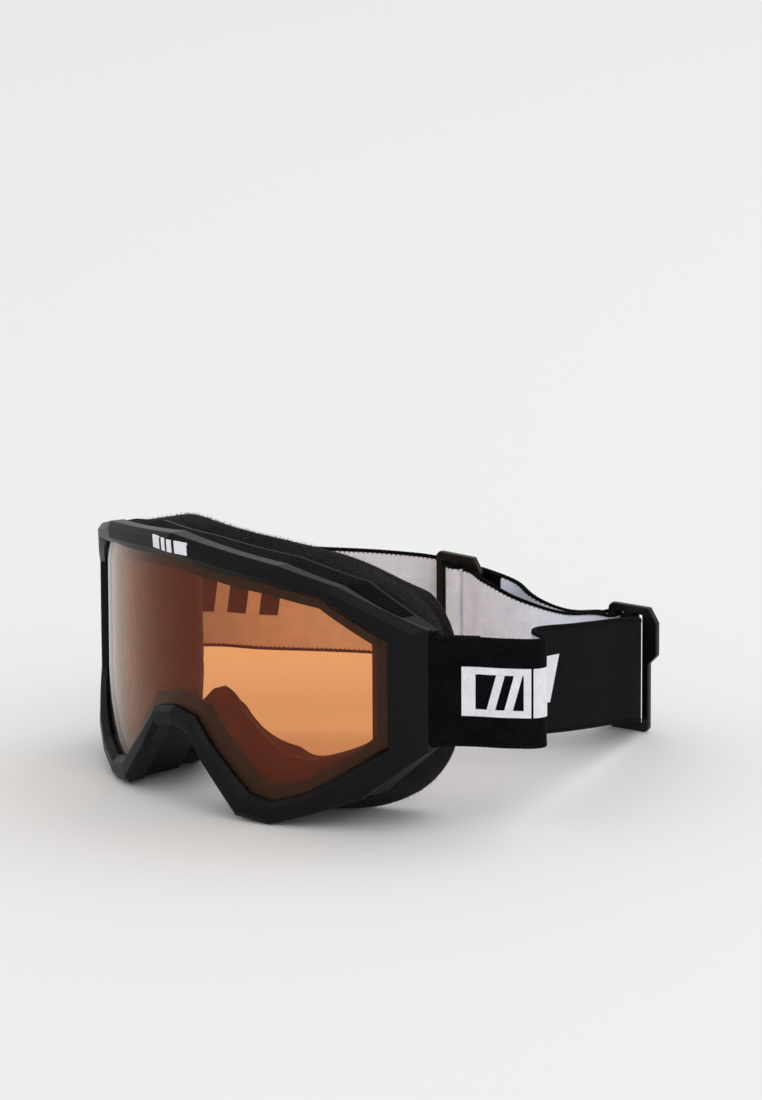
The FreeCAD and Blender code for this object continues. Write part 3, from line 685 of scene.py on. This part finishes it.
    def build(self) -> list[bpy.types.Object]:
        """Makes the roll, its fleece lining and its loose fibres.

        Returns:
            The pieces.
        """
        points = self.surface()
        noise = np.random.default_rng(self.seed)
        wobble = noise.normal(0, 1, points.shape[:2])
        for axis in (0, 1):
            wobble = (wobble + np.roll(wobble, 1, axis) + np.roll(wobble, -1, axis)) / 3
        points[..., 1] += wobble * self.unevenness
        rows, columns = points.shape[:2]
        foam = new_piece("face_foam", points.reshape(-1, 3), grid_faces(rows, columns, True, True))
        dress(foam, FACE_FOAM)
        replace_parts(foam, "foam_base", "foam_face")
        lining = self.skin(points, int(columns * self.lined_from))
        pieces = [foam, lining, self.fibres(points)]
        for piece in pieces:
            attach(piece, "goggles")
        return pieces

    def skin(self, points: Array, first: int) -> bpy.types.Object:
        """Fleece on the part of the roll that meets the face: the same surface, up to 0.7 mm proud.

        Args:
            points: Points of the roll.
            first: Number of the section point where the fleece starts.

        Returns:
            The fleece.
        """
        part = points[:, first - self.lining_before : first + self.lining_after]
        normal = surface_normals(part)
        puff = np.sin(np.linspace(0, math.pi, part.shape[1]))[None, :, None]
        over = part + normal * (self.lining_edge + self.lining_puff * puff)
        under = part - normal * self.lining_sink
        ring = np.concatenate([over, under[:, ::-1]], 1)
        rows, columns = ring.shape[:2]
        piece = new_piece("face_lining", ring.reshape(-1, 3), grid_faces(rows, columns, True, True))
        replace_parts(dress(piece, FLEECE), "face_fleece")
        return piece

    def fibres(self, points: Array, count: int = 9000) -> bpy.types.Object:
        """Loose fibres that make the foam fuzzy: thin three-sided spikes that taper to a point.

        Each spike stands at a random spot of the grid, along the surface's normal turned a
        little. None stands where the strap passes or on the floor.

        Args:
            points: Points of the roll.
            count: Number of fibres.

        Returns:
            All fibres as one piece.
        """
        noise = np.random.default_rng(self.seed + 1)
        normal = surface_normals(points)
        rows = noise.integers(0, points.shape[0], count)
        columns = noise.integers(3, int(points.shape[1] * self.fibred_to), count)
        root, beyond = points[rows, columns], points[(rows + 1) % points.shape[0], columns]
        base = root + (beyond - root) * noise.random((count, 1))
        base = base + (points[rows, columns + 1] - root) * noise.random((count, 1))
        tip_way = normal[rows, columns] + noise.normal(0, self.fibre_stray, (count, 3))
        tip_way /= np.linalg.norm(tip_way, axis=-1, keepdims=True)
        length = noise.uniform(*self.fibre_length, (count, 1))
        side = np.cross(tip_way, noise.normal(0, 1, (count, 3)))
        side /= np.linalg.norm(side, axis=-1, keepdims=True)
        other = np.cross(tip_way, side)
        low, thin = base - tip_way * self.fibre_root, self.fibre_thin
        corners = [low + (side * c + other * s) * thin for c, s in ((1.0, 0.0), (-0.5, 0.87), (-0.5, -0.87))]
        verts = np.stack([*corners, base + tip_way * length], 1)
        tip = verts[:, 3]
        side_x, low_z, high_z, back_y = self.strap_window
        in_window = (np.abs(tip[:, 0]) > side_x) & (tip[:, 2] > low_z) & (tip[:, 2] < high_z)
        in_window &= tip[:, 1] < back_y
        verts = verts[(tip[:, 2] > self.fibre_floor) & ~in_window].reshape(-1, 3)
        first = (np.arange(len(verts) // 4) * 4)[:, None, None]
        faces = first + np.array([[0, 2, 1], [0, 1, 3], [1, 2, 3], [2, 0, 3]])[None]
        piece = new_piece("foam_fibres", verts, faces.reshape(-1, 3), False)
        return dress(piece, FACE_FOAM)


# ---------------------------------------------------------------- webbing
def run_along(points: Array) -> Array:
    """Distance from the first point to each point, along the line through them."""
    return np.concatenate([[0], np.cumsum(np.linalg.norm(np.diff(points, axis=0), axis=1))])


def natural_spline(points: Array, spacing: float) -> Array:
    """Evenly spaced points on the cubic curve through given points.

    The curve's second derivatives come from the usual tridiagonal equations, with the
    distances between points as the parameter and none at the two ends.

    Args:
        points: Points to pass through.
        spacing: Distance between the points returned.

    Returns:
        Points on the curve.
    """
    times = run_along(points)
    gaps = np.diff(times)
    count = len(points)
    system = np.zeros((count, count))
    right = np.zeros((count, 3))
    system[0, 0] = system[-1, -1] = 1
    inner = np.arange(1, count - 1)
    system[inner, inner - 1] = gaps[:-1]
    system[inner, inner] = 2 * (gaps[:-1] + gaps[1:])
    system[inner, inner + 1] = gaps[1:]
    slopes = np.diff(points, axis=0) / gaps[:, None]
    right[1:-1] = 6 * (slopes[1:] - slopes[:-1])
    bend = np.linalg.solve(system, right)
    fine = np.linspace(0, times[-1], int(times[-1] / 0.1))
    span = np.clip(np.searchsorted(times, fine, "right") - 1, 0, count - 2)
    gap = gaps[span][:, None]
    ahead = (times[span + 1] - fine)[:, None]
    behind = (fine - times[span])[:, None]
    curve = (
        bend[span] * ahead**3 / (6 * gap) + bend[span + 1] * behind**3 / (6 * gap)
        + (points[span] / gap - bend[span] * gap / 6) * ahead
        + (points[span + 1] / gap - bend[span + 1] * gap / 6) * behind
    )
    steps = run_along(curve)
    stops = np.linspace(0, steps[-1], max(8, int(steps[-1] / spacing)))
    return np.stack([np.interp(stops, steps, curve[:, axis]) for axis in range(3)], -1)


class White(Enum):
    """Which side of the webbing is white felt: to the right or the left of its run, seen from above."""

    RIGHT = 1.0
    LEFT = -1.0


@dataclass
class Webbing:
    """A band of jacquard webbing, black outside and felt inside, with overlocked edges."""

    name: str
    nodes: tuple[str, ...]
    points: Array
    white: White
    width: float = 40.0
    thick: float = 1.36
    selvedge: Point = (0.4, 1.15, 2.6)  # insets of the points beside each edge
    face_points: int = 15
    thread_pitch: float = 1.75
    thread_reach: float = 1.5
    thread_radius: float = 0.26
    thread_lean: float = 0.8
    patch_grid: tuple[int, int] = (30, 22)
    patch_levels: tuple[float, float] = (-0.05, 0.13)
    ragged: float = 0.1

    def __post_init__(self) -> None:
        """Works out the middle line and its sideways directions."""
        self.middle = natural_spline(np.asarray(self.points, float), 0.9)
        along = np.gradient(self.middle, axis=0)
        flat = along / np.linalg.norm(along[:, :2], axis=1, keepdims=True)
        self.right = np.stack([flat[:, 1], -flat[:, 0], np.zeros(len(flat))], -1)
        self.run = run_along(self.middle)

    def at(self, run: Array, height: Array, lift: Array) -> Array:
        """Points beside the middle line.

        Args:
            run: Distance along the band.
            height: Height above its middle.
            lift: Distance to the right of its middle plane.

        Returns:
            Points: middle + right * lift + up * height.
        """
        spot = np.stack([np.interp(run, self.run, self.middle[:, axis]) for axis in range(3)], -1)
        side = np.stack([np.interp(run, self.run, self.right[:, axis]) for axis in range(3)], -1)
        side /= np.linalg.norm(side, axis=-1, keepdims=True)
        up = np.zeros_like(spot)
        up[..., 2] = 1.0
        return spot + side * np.asarray(lift)[..., None] + up * np.asarray(height)[..., None]

    def section(self) -> tuple[Array, Array, Array]:
        """Rounded section: lift, height and which stretch each point starts (0 black, 1 felt).

        Returns:
            Three arrays of the same length: up the black face, over the edge and down the felt.
        """
        half, rim = self.thick / 2, self.width / 2
        first, second, third = (rim - inset for inset in self.selvedge)
        count = self.face_points
        rows = np.concatenate([[-first, -second], np.linspace(-third, third, count - 4), [second, first]])
        black = -self.white.value * half
        lift = np.repeat([black, 0.75 * black, -0.75 * black, -black, -0.75 * black, 0.75 * black],
                         [count, 1, 1, count, 1, 1])
        height = np.concatenate([rows, [rim, rim], rows[::-1], [-rim, -rim]])
        felt = np.repeat([0, 1, 0], [count + 3, count - 3, 4])
        return lift, height, felt

    def build(self, bodies: tuple[str, ...], cross: Cross = None) -> list[bpy.types.Object]:
        """Makes the band and its edge threads; they ride on one body, or have their place baked into their
        mesh when they lie between two.

        Args:
            bodies: The body it rides on, or the two it lies between; only the first is read.
            cross: Where a band between two bodies would start and stop to bend; only whether it is given is
                read.

        Returns:
            The band and its threads.
        """
        lift, height, felt = self.section()
        rows, columns = len(self.run), len(lift)
        run = np.repeat(self.run[:, None], columns, 1)
        verts = self.at(run, np.repeat(height[None], rows, 0), np.repeat(lift[None], rows, 0))
        faces = grid_faces(rows, columns, False, True).tolist() + tube_ends(rows, columns)
        piece = new_piece(self.name, verts.reshape(-1, 3), faces)
        wrap_round(piece, np.stack([run.reshape(-1), np.tile(height, rows)], -1))
        kind = np.zeros(len(piece.data.polygons), np.int32)
        kind[: (rows - 1) * columns] = np.tile(felt, rows - 1)
        for finish in (WEBBING_BLACK, WEBBING_FELT):
            piece.data.materials.append(finish.build())
        piece.data.polygons.foreach_set("material_index", kind)
        outward(piece)
        piece.data.set_sharp_from_angle(angle=math.radians(50))
        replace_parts(piece, *self.nodes)
        pieces = [piece, self.edge_threads()]
        for made in pieces:
            hang(made, bodies, cross)
        return pieces

    def edge_threads(self) -> bpy.types.Object:
        """Overlock stitches: short threads wrapped over both edges, leaning a little.

        Each thread is a tube on a half turn round the edge; its middle line goes from one face
        over the edge to the other.

        Returns:
            All stitches of the band as one piece.
        """
        stops = np.arange(1.0, self.run[-1] - 1.0, self.thread_pitch)[:, None, None]
        turn = np.linspace(0, math.pi, 6)[None, :, None]
        ring = np.linspace(0, 2 * math.pi, 5, endpoint=False)[None, None]
        lean = np.linspace(-self.thread_lean, self.thread_lean, turn.size)[None, :, None]
        run = stops + lean + np.cos(ring) * self.thread_radius
        swell = np.sin(ring) * self.thread_radius
        lift = np.cos(turn) * (self.thick / 2 + 0.04) * 1.05 + swell * np.sign(np.cos(turn)) * 0.6
        beyond = self.width / 2 - self.thread_reach + np.sin(turn) ** 0.5 * (self.thread_reach - 0.05)
        count, rows, columns = run.shape
        first = (np.arange(count) * rows * columns)[:, None, None]
        verts, faces = [], []
        for edge in (-1.0, 1.0):
            height = edge * (beyond + swell * (np.abs(np.cos(turn)) < 0.9))
            place = [np.broadcast_to(part, run.shape) for part in (height, lift)]
            verts.append(self.at(run, *place).reshape(-1, 3))
            for corners in (grid_faces(rows, columns, False, True), np.array(tube_ends(rows, columns))):
                faces += (first + corners[None]).reshape(-1, corners.shape[1]).tolist()
            first = first + count * rows * columns
        piece = outward(new_piece(self.name + "_edge_thread", np.vstack(verts), faces))
        piece.data.materials.append(THREAD_BLACK.build())
        return piece

    def patch(
        self, name: str, quads: tuple, finish: Finish, felt_side: bool = False
    ) -> bpy.types.Object:
        """Woven-in shapes, as thin raised pieces that follow the band.

        Each shape is a four-sided patch: a point is the even mixture of its corners, and the
        edges are roughened by a fine saw of thread ends.

        Args:
            name: Name of the piece.
            quads: Four (run, height) corners for each shape.
            finish: Finish of the thread.
            felt_side: Whether it lies on the felt side.

        Returns:
            The shapes as one piece.
        """
        rows, columns = self.patch_grid
        side = self.white.value * (1.0 if felt_side else -1.0)
        a, b = np.meshgrid(np.linspace(0, 1, rows), np.linspace(0, 1, columns), indexing="ij")
        shares = np.stack([(1 - a) * (1 - b), a * (1 - b), a * b, (1 - a) * b], -1).reshape(-1, 4)
        numbers = np.arange(rows * columns).reshape(rows, columns)
        edge = np.concatenate([numbers[0], numbers[1:, -1], numbers[-1, -2::-1], numbers[-2:0:-1, 0]])
        after = np.roll(edge, -1)
        ragged = np.resize([self.ragged, -self.ragged], len(edge))
        inner = grid_faces(rows, columns, False, False)
        verts, uvs, faces = [], [], []
        for number, quad in enumerate(quads):
            flat = shares @ np.array(quad, float)
            flat[edge, 1] += ragged
            for level in self.patch_levels:
                rise = (self.thick / 2 + level) * side
                verts.append(self.at(flat[:, 0], flat[:, 1], np.full(len(flat), rise)))
                uvs.append(flat)
            low = number * 2 * rows * columns
            high = low + rows * columns
            wall = np.stack([edge + low, after + low, after + high, edge + high], -1)
            faces += np.vstack([inner[:, ::-1] + low, inner + high, wall]).tolist()
        piece = new_piece(name, np.vstack(verts), faces)
        wrap_round(piece, np.vstack(uvs))
        return dress(piece, finish, 50)


def hang(piece: bpy.types.Object, bodies: tuple[str, ...], cross: Cross) -> None:
    """Rides on one body; a piece between two bodies has its place baked into its mesh instead.

    Args:
        piece: The piece.
        bodies: The body it rides on, or the two it lies between; only the first is read.
        cross: Where a piece between two bodies would start and stop to bend; only whether it is given is
            read.
    """
    if cross is None:
        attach(piece, bodies[0])
        return
    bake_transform(piece)


def beside(middle: tuple[float, float], turn: float, points: tuple, heights: object) -> list:
    """Points beside a buckle's bars, from its own across-and-front distances.

    Args:
        middle: Middle of the buckle, seen from above.
        turn: Its turn about the vertical, in degrees.
        points: (across, front) distances.
        heights: One height, or one for each point.

    Returns:
        Points (x, y, z).
    """
    angle = math.radians(turn)
    across = np.array([math.cos(angle), math.sin(angle)])
    front = np.array([math.sin(angle), -math.cos(angle)])
    flat = np.array(middle) + np.array(points)[:, :1] * across + np.array(points)[:, 1:] * front
    return np.column_stack([flat, np.broadcast_to(heights, len(flat))]).tolist()


def slanted(start: float, stop: float, low: float, high: float, slant: float = 0.0) -> tuple:
    """Four (run, height) corners of an upright shape, its top moved along by `slant`."""
    return ((start, low), (stop, low), (stop + slant, high), (start + slant, high))


@dataclass
class Strap:
    """The strap: two anchored bands, the layer that returns from the ring, and two buckles."""

    ring: tuple[float, float] = (33.0, 192.5)
    ring_turn: float = 13.6
    slider: tuple[float, float] = (-1.0, 136.2)
    slider_turn: float = 8.0
    level: float = 51.4
    ring_height: float = 24.4
    pin: tuple[float, float] = (84.0, TEMPLE_Y + 3.5)
    pin_turn: float = 2.0
    near_bend: Cross = ((96.0, 88.0, 48.0), (46.0, 186.0, 26.0))
    far_bend: Cross = ((-10.0, 138.0, 46.0), (24.0, 186.0, 26.0))
    return_bend: Cross = ((28.5, 189.0, 24.4), (20.0, 137.0, 44.0))

    def anchored(self, sewn: list, side: float, angles: tuple[float, ...], out: list) -> list:
        """Level start of a band's middle line.

        Args:
            sewn: Points (x, y) of the sewn end.
            side: 1 for the near pin, -1 for the far one.
            angles: Where the turn round the pin has its points, in degrees.
            out: Points (x, y) after the turn.

        Returns:
            Points (x, y, z).
        """
        turn = np.radians(angles)
        x = side * self.pin[0] + self.pin_turn * np.cos(turn)
        y = self.pin[1] + self.pin_turn * np.sin(turn)
        return [(*spot, self.level) for spot in (*sewn, *zip(x, y), *out)]

    def at_ring(self, points: tuple) -> list:
        """Points beside the ring's bars."""
        return beside(self.ring, self.ring_turn, points, self.ring_height)

    def right_points(self) -> list:
        """Middle line of the near band, from its sewn end round the pin to its tail in the ring.

        Returns:
            Points (x, y, z).
        """
        sewn = [(99, 58.2), (93.2, 53.1), (87.5, 48.2), (83.6, 45.5)]
        out = [(88.6, 45.7), (94.2, 51.7), (100, 56.8)]
        run = [
            (105.5, 61.5, 51.2), (109.8, 66.2, 51), (113.2, 72.5, 50.6), (112.4, 76.8, 50.3),
            (108.2, 79.3, 50), (103, 81.3, 49.6), (98.6, 84, 49.2), (94.9, 88.2, 48.5), (91.6, 94.5, 47.4),
            (85.4, 107.8, 44.5), (75.7, 127.7, 40), (62.9, 152.2, 34.5), (53.1, 171.1, 30.3), (44.6, 186, 26),
        ]
        thread = (
            (6.3, 3.6), (4.3, 2.0), (2.9, 0.4), (2.6, -1.1), (1.7, -2.15), (0.0, -2.25), (-1.7, -2.1),
            (-2.6, -1.1), (-2.65, 0.0), (-2.6, 1.1), (-1.7, 2.1), (0.0, 2.4), (1.6, 3.5), (4.3, 6.0),
        )
        start = self.anchored(sewn, 1, (141.5, 190, 240, 290, 321.5), out)
        return start + run + self.at_ring(thread) + [(43.6, 180.9, 26.4), (48.3, 173, 28.5)]

    def left_points(self) -> list:
        """Middle line of the far band, from its sewn end past the adjuster to the ring's left bar.

        Returns:
            Points (x, y, z).
        """
        sewn = [(-86.9, 58), (-87.35, 53.5), (-86.9, 49.5), (-84.9, 46.6)]
        out = [(-87.6, 46), (-89.3, 51), (-88.6, 58), (-84.5, 66)]
        run = [
            (-79, 74, 51), (-72, 81.5, 51), (-63, 89.5, 50.4), (-53, 99.5, 50), (-43, 111.5, 49.3),
            (-33.5, 122.6, 48.5),
        ]
        past = ((-22.3, 0.5), (-16, -2.6), (-10.6, -4.2), (-5, -4.5), (0, -4.5), (10.6, -4.5), (15, -6))
        back = [
            (20.5, 148.4, 41.3), (26, 147.9, 39.2), (30.6, 149.3, 37), (33.3, 153.6, 34.5), (32.6, 161, 31.5),
            (29.6, 172, 28.5), (25.6, 184, 25.8),
        ]
        thread = (
            (-10.6, 0.4), (-10.1, -1.4), (-8.8, -2.2), (-7.4, -2.3), (-6.1, -2.15), (-5.1, -1.5),
            (-4.7, -0.3),
        )
        heights = (47.6, 47.2, 46.8, 46.6, 46.3, 45.6, 44.5)
        start = self.anchored(sewn, -1, (35, 0, -45, -90, -130, -147), out)
        middle = beside(self.slider, self.slider_turn, past, heights)
        return start + run + middle + back + self.at_ring(thread)

    def return_points(self) -> list:
        """Middle line of the layer from the ring back round the adjuster's right bar.

        Returns:
            Points (x, y, z).
        """
        run = [
            (31, 178, 27), (34.3, 166, 29.8), (36.6, 155.5, 32.2), (35.9, 148, 34.8), (32.6, 142, 37.5),
            (27, 137.9, 40), (20.5, 135, 43),
        ]
        thread = (
            (14, 3.9), (10.6, 2.5), (7.6, 2.2), (5.5, 1.9), (4.8, 0.7), (4.8, -0.7), (5.5, -1.95),
            (7.4, -2.2), (10, -2.4), (13, -2.4), (17, -1.6), (20.5, -0.2),
        )
        heights = (45.2, 45.9, 46.3, 46.5, 46.5, 46.5, 46.5, 46.5, 46.3, 46, 45.6, 45.2)
        start = self.at_ring(((-4.7, 0.4), (-4.8, 1.6), (-4.9, 3.2)))
        return start + run + beside(self.slider, self.slider_turn, thread, heights)

    def hump_points(self) -> list:
        """Middle line of the webbing over the adjuster's centre bar.

        Returns:
            Points (x, y, z).
        """
        thread = (
            (-9.8, -2.4), (-8, -2.35), (-6.3, -2.25), (-5.1, -1.6), (-3.7, 0.3), (-2.4, 2), (0, 2.4),
            (1.8, 2.1), (2.7, 0.9), (2.85, -0.6), (2.9, -2),
        )
        return beside(self.slider, self.slider_turn, thread, 46.5)

    def outer_mark(self, first: float = 42.0, tall: float = 9.0, lift: float = 0.3) -> tuple:
        """Plain woven shapes on the near band: a frame round two slashes, and two blocks.

        Args:
            first: Distance along the band where they start.
            tall: Half their height.
            lift: How far they sit above the band's middle.

        Returns:
            Four (run, height) corners for each shape.
        """
        line = tall - 2.6
        shapes = (
            slanted(0, 5, -tall, tall), slanted(5, 22, -tall, -line), slanted(5, 22, line, tall),
            slanted(22, 24.6, -tall, tall), slanted(9.0, 12.0, -line, line, 3.4),
            slanted(15.2, 18.2, -line, line, 3.4), slanted(25.4, 32.5, -tall, tall),
            ((56.0, -tall + 0.4), (66.0, -tall + 0.4), (74.8, tall), (56.0, tall - 0.8)),
        )
        return tuple(tuple((first + run, height + lift) for run, height in shape) for shape in shapes)

    def build(self) -> list[bpy.types.Object]:
        """Makes the bands, their woven marks and the buckles.

        Returns:
            The pieces.
        """
        near = Webbing("near_band", ("right_strap",), self.right_points(), White.LEFT)
        pieces = near.build(("goggles", "ring"), self.near_bend)
        mark = near.patch("woven_blocks", self.outer_mark(), THREAD_WHITE)
        hang(mark, ("goggles", "ring"), self.near_bend)
        pieces.append(mark)
        far = Webbing("far_band", ("left_strap",), self.left_points(), White.RIGHT)
        pieces += far.build(("goggles", "ring"), self.far_bend)
        inner = tuple(slanted(start, start + 7, -6.5, 9, 2) for start in (46.0, 58.0, 70.0, 82.0))
        back = far.patch("woven_blocks_inside", inner, THREAD_BLACK, True)
        hang(back, ("goggles", "ring"), self.far_bend)
        pieces.append(back)
        layer = Webbing("return_band", ("return_strap",), self.return_points(), White.LEFT)
        pieces += layer.build(("ring", "adjuster"), self.return_bend)
        hump = Webbing("adjuster_loop", ("adjuster_hump",), self.hump_points(), White.RIGHT)
        pieces += hump.build(("adjuster",))
        for node, body in (("ring_buckle", "ring"), ("adjuster_buckle", "adjuster")):
            buckle = eased_copy(node, node.replace("buckle", "tri_glide"), 0.55, 3)
            buckle.data.materials.append(BUCKLE_PLASTIC.build())
            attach(buckle, body)
            pieces.append(buckle)
        return pieces


# ---------------------------------------------------------------- shell, lens stack, vents and pins
@dataclass
class Inside:
    """Lens stack, vent foams and pins, which keep their shape, and the shell with its vent screens."""

    screens: tuple[tuple[str, float, float, bool], ...] = (
        # name, from and to along x, and whether it is on the brow
        ("brow_screen", -80.0, 80.0, True), ("left_cheek_screen", -66.0, -46.0, False),
        ("right_cheek_screen", 46.0, 66.0, False),
    )
    screen_rise: tuple[float, ...] = (-0.9, -0.1, 0.3, 0.42, 0.45, 0.42, 0.3, -0.1, -0.9)
    screen_along: tuple[float, ...] = (0.0, 0.0, 0.04, 0.2, 0.5, 0.8, 0.96, 1.0, 1.0)
    screen_gaps: tuple[float, float] = (0.7, 1.2)  # behind the rim, and before the seat
    edge_reach: float = 0.4  # how near the old opening a corner lies to count as on its edge
    edge_behind: float = 18.0

    def clear_opening(self, mesh: bpy.types.Mesh) -> None:
        """Moves the edge of the shell's opening out to `OPENING_HALF`.

        A corner on the edge keeps its angle about the pad's middle: its distance becomes the new
        outline's, and its depth follows the flange's arc.

        Args:
            mesh: The shell's own mesh.
        """
        pad = FacePad()
        flat = np.empty(len(mesh.vertices) * 3)
        mesh.vertices.foreach_get("co", flat)
        spots = flat.reshape(-1, 3) / MM - home()
        angles = np.linspace(0, 2 * math.pi, 2881)
        gap = spots[:, [0, 2]] - pad.middle
        turn = np.arctan2(gap[:, 0], gap[:, 1]) % (2 * math.pi)
        old = np.interp(turn, angles, pad.radial(FACE_HALF, angles, 1))
        new = np.interp(turn, angles, pad.radial(OPENING_HALF, angles, 1))
        on_edge = (np.abs(np.hypot(*gap.T) - old) < self.edge_reach) & (spots[:, 1] > self.edge_behind)
        grown = gap * (new / old)[:, None] + pad.middle
        arc = arc_depth(np.stack([grown[:, 0], spots[:, 0]]), *SEAT_ARC)
        spots[on_edge, 1] += (arc[0] - arc[1])[on_edge]
        spots[on_edge, 0], spots[on_edge, 2] = grown[on_edge, 0], grown[on_edge, 1]
        mesh.vertices.foreach_set("co", ((spots + home()) * MM).reshape(-1))

    def vent_screens(self) -> list[bpy.types.Object]:
        """Mesh foam that covers the vent slots, almost level with the shell's wall.

        Each screen is a strip of the shell's outline between two distances from the mid plane,
        pushed 0.45 mm out in the middle, from just behind the rim to just before the seat.

        Returns:
            The screens.
        """
        pieces = []
        rise, along = np.array(self.screen_rise), np.array(self.screen_along)
        for name, low, high, brow in self.screens:
            half = np.array(SHELL_HALF[:4] if brow else SHELL_HALF[4:9][::-1], float)
            x = np.linspace(low, high, 120)
            z = np.interp(np.abs(x), half[:, 0], half[:, 1])[:, None] + (1 if brow else -1) * rise[None]
            start = arc_depth(x, *SPLIT_ARC) + self.screen_gaps[0]
            stop = arc_depth(x, *SEAT_ARC) - self.screen_gaps[1]
            y = start[:, None] + (stop - start)[:, None] * along[None]
            grid = np.stack(np.broadcast_arrays(x[:, None], y, z), -1)
            faces = grid_faces(*y.shape, False, True).tolist() + tube_ends(*y.shape)
            piece = dress(new_piece(name, grid.reshape(-1, 3), faces), VENT_FOAM, 40)
            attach(piece, "goggles")
            pieces.append(piece)
        return pieces

    def build(self) -> list[bpy.types.Object]:
        """Gives each kept node its finish, and makes the shell with eased edges and the screens.

        Returns:
            The shell and the screens.
        """
        outer, inner = LENS_OUTER.build(), LENS_INNER.build()
        tape, vent, black = TAPE.build(), VENT_FOAM.build(), BUCKLE_PLASTIC.build()
        dressed = {
            "outer_lens": outer, "inner_lens": inner, "lens_spacer": tape, "lens_seal": tape,
            "brow_vent_foam": vent, "left_cheek_vent_foam": vent, "right_cheek_vent_foam": vent,
            "left_anchor_pin": black, "right_anchor_pin": black,
        }
        for node, finish in dressed.items():
            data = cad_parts[node].data
            data.materials.clear()
            data.materials.append(finish)
        shell = eased_copy("rear_frame", "rear_shell", 0.35)
        self.clear_opening(shell.data)
        shell.data.materials.append(SHELL_PLASTIC.build())
        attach(shell, "goggles")
        return [shell, *self.vent_screens()]


# ---------------------------------------------------------------- studio
@dataclass
class Studio:
    """Pale floor and room light, two soft boxes and the camera."""

    azimuth: float = 48.81
    elevation: float = 13.73
    roll: float = -0.25
    distance: float = 2.629
    aim: Point = (66.6, 40.0, 99.9)
    lens: float = 242.8
    film: float = 36.0
    room_light: float = 0.86
    floor_half: float = 12.0

    def camera(self) -> bpy.types.Object:
        """Camera at its distance from the aim, turned by azimuth and elevation.

        Returns:
            The scene's camera.
        """
        target = Vector(((np.array(self.aim) + home()) * MM).tolist())
        turn, rise = math.radians(self.azimuth), math.radians(self.elevation)
        away = Vector((math.sin(turn) * math.cos(rise), -math.cos(turn) * math.cos(rise), math.sin(rise)))
        data = bpy.data.cameras.new("camera")
        data.lens, data.sensor_width, data.clip_end = self.lens, self.film, 60.0
        eye = placed("camera", data)
        look = (-away).to_track_quat("-Z", "Y").to_matrix().to_4x4()
        place = Matrix.Translation(target + away * self.distance)
        eye.matrix_world = place @ look @ Matrix.Rotation(math.radians(self.roll), 4, "Z")
        bpy.context.scene.camera = eye
        return eye

    def lamp(self, name: str, place: tuple, size: float, power: float) -> None:
        """Square soft box that looks at the goggles.

        Args:
            name: Name of the lamp.
            place: Its place, in metres.
            size: Its side, in metres.
            power: Its power, in watts.
        """
        data = bpy.data.lights.new(name, "AREA")
        data.shape, data.size, data.energy = "SQUARE", size, power
        lamp = placed(name, data)
        lamp.location = place
        lamp.rotation_euler = (Vector((0, 0, 0.05)) - Vector(place)).to_track_quat("-Z", "Y").to_euler()

    def build(self) -> None:
        """Makes the floor, the lights and the camera."""
        scene = bpy.context.scene
        scene.view_settings.view_transform = "Standard"
        mesh = bpy.data.meshes.new("floor")
        corners = np.array([(-1, -1, 0), (1, -1, 0), (1, 1, 0), (-1, 1, 0)]) * self.floor_half
        mesh.from_pydata(corners.tolist(), [], [(0, 1, 2, 3)])
        finish = new_material("floor matte paper")
        plug(finish.node_tree, finish.node_tree.nodes["Principled BSDF"], {
            "Base Color": linear("e9e9e9"), "Roughness": 0.75, "Specular IOR Level": 0.3,
        })
        mesh.materials.append(finish)
        placed("floor", mesh)
        world = bpy.data.worlds.new("soft room")
        world.use_nodes = True
        plug(world.node_tree, world.node_tree.nodes["Background"], {
            "Color": (1, 1, 1, 1), "Strength": self.room_light,
        })
        scene.world = world
        self.lamp("overhead soft box", (0.1, 1.7, 2.3), 2.0, 15.0)
        self.lamp("front soft box", (1.9, -0.7, 1.9), 1.6, 9.0)
        self.camera()


def main() -> None:
    """Builds every sub-assembly in turn, and logs each piece's face count."""
    logging.basicConfig(level=logging.INFO, format="%(message)s")
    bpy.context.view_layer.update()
    Studio().build()
    rim = Rim()
    made = [rim.build(), rim.brow_mark()]
    for part in (Inside(), FacePad(), Strap()):
        made += part.build()
    for piece in made:
        LOG.info("%-24s %6d faces", piece.name, len(piece.data.polygons))


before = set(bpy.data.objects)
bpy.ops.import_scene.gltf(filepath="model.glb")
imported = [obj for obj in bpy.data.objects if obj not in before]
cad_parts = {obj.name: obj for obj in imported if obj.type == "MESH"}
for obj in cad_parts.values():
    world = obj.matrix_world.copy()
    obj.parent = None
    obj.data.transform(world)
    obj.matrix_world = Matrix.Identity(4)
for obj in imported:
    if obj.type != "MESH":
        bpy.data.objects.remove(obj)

if __name__ == "__main__":
    main()
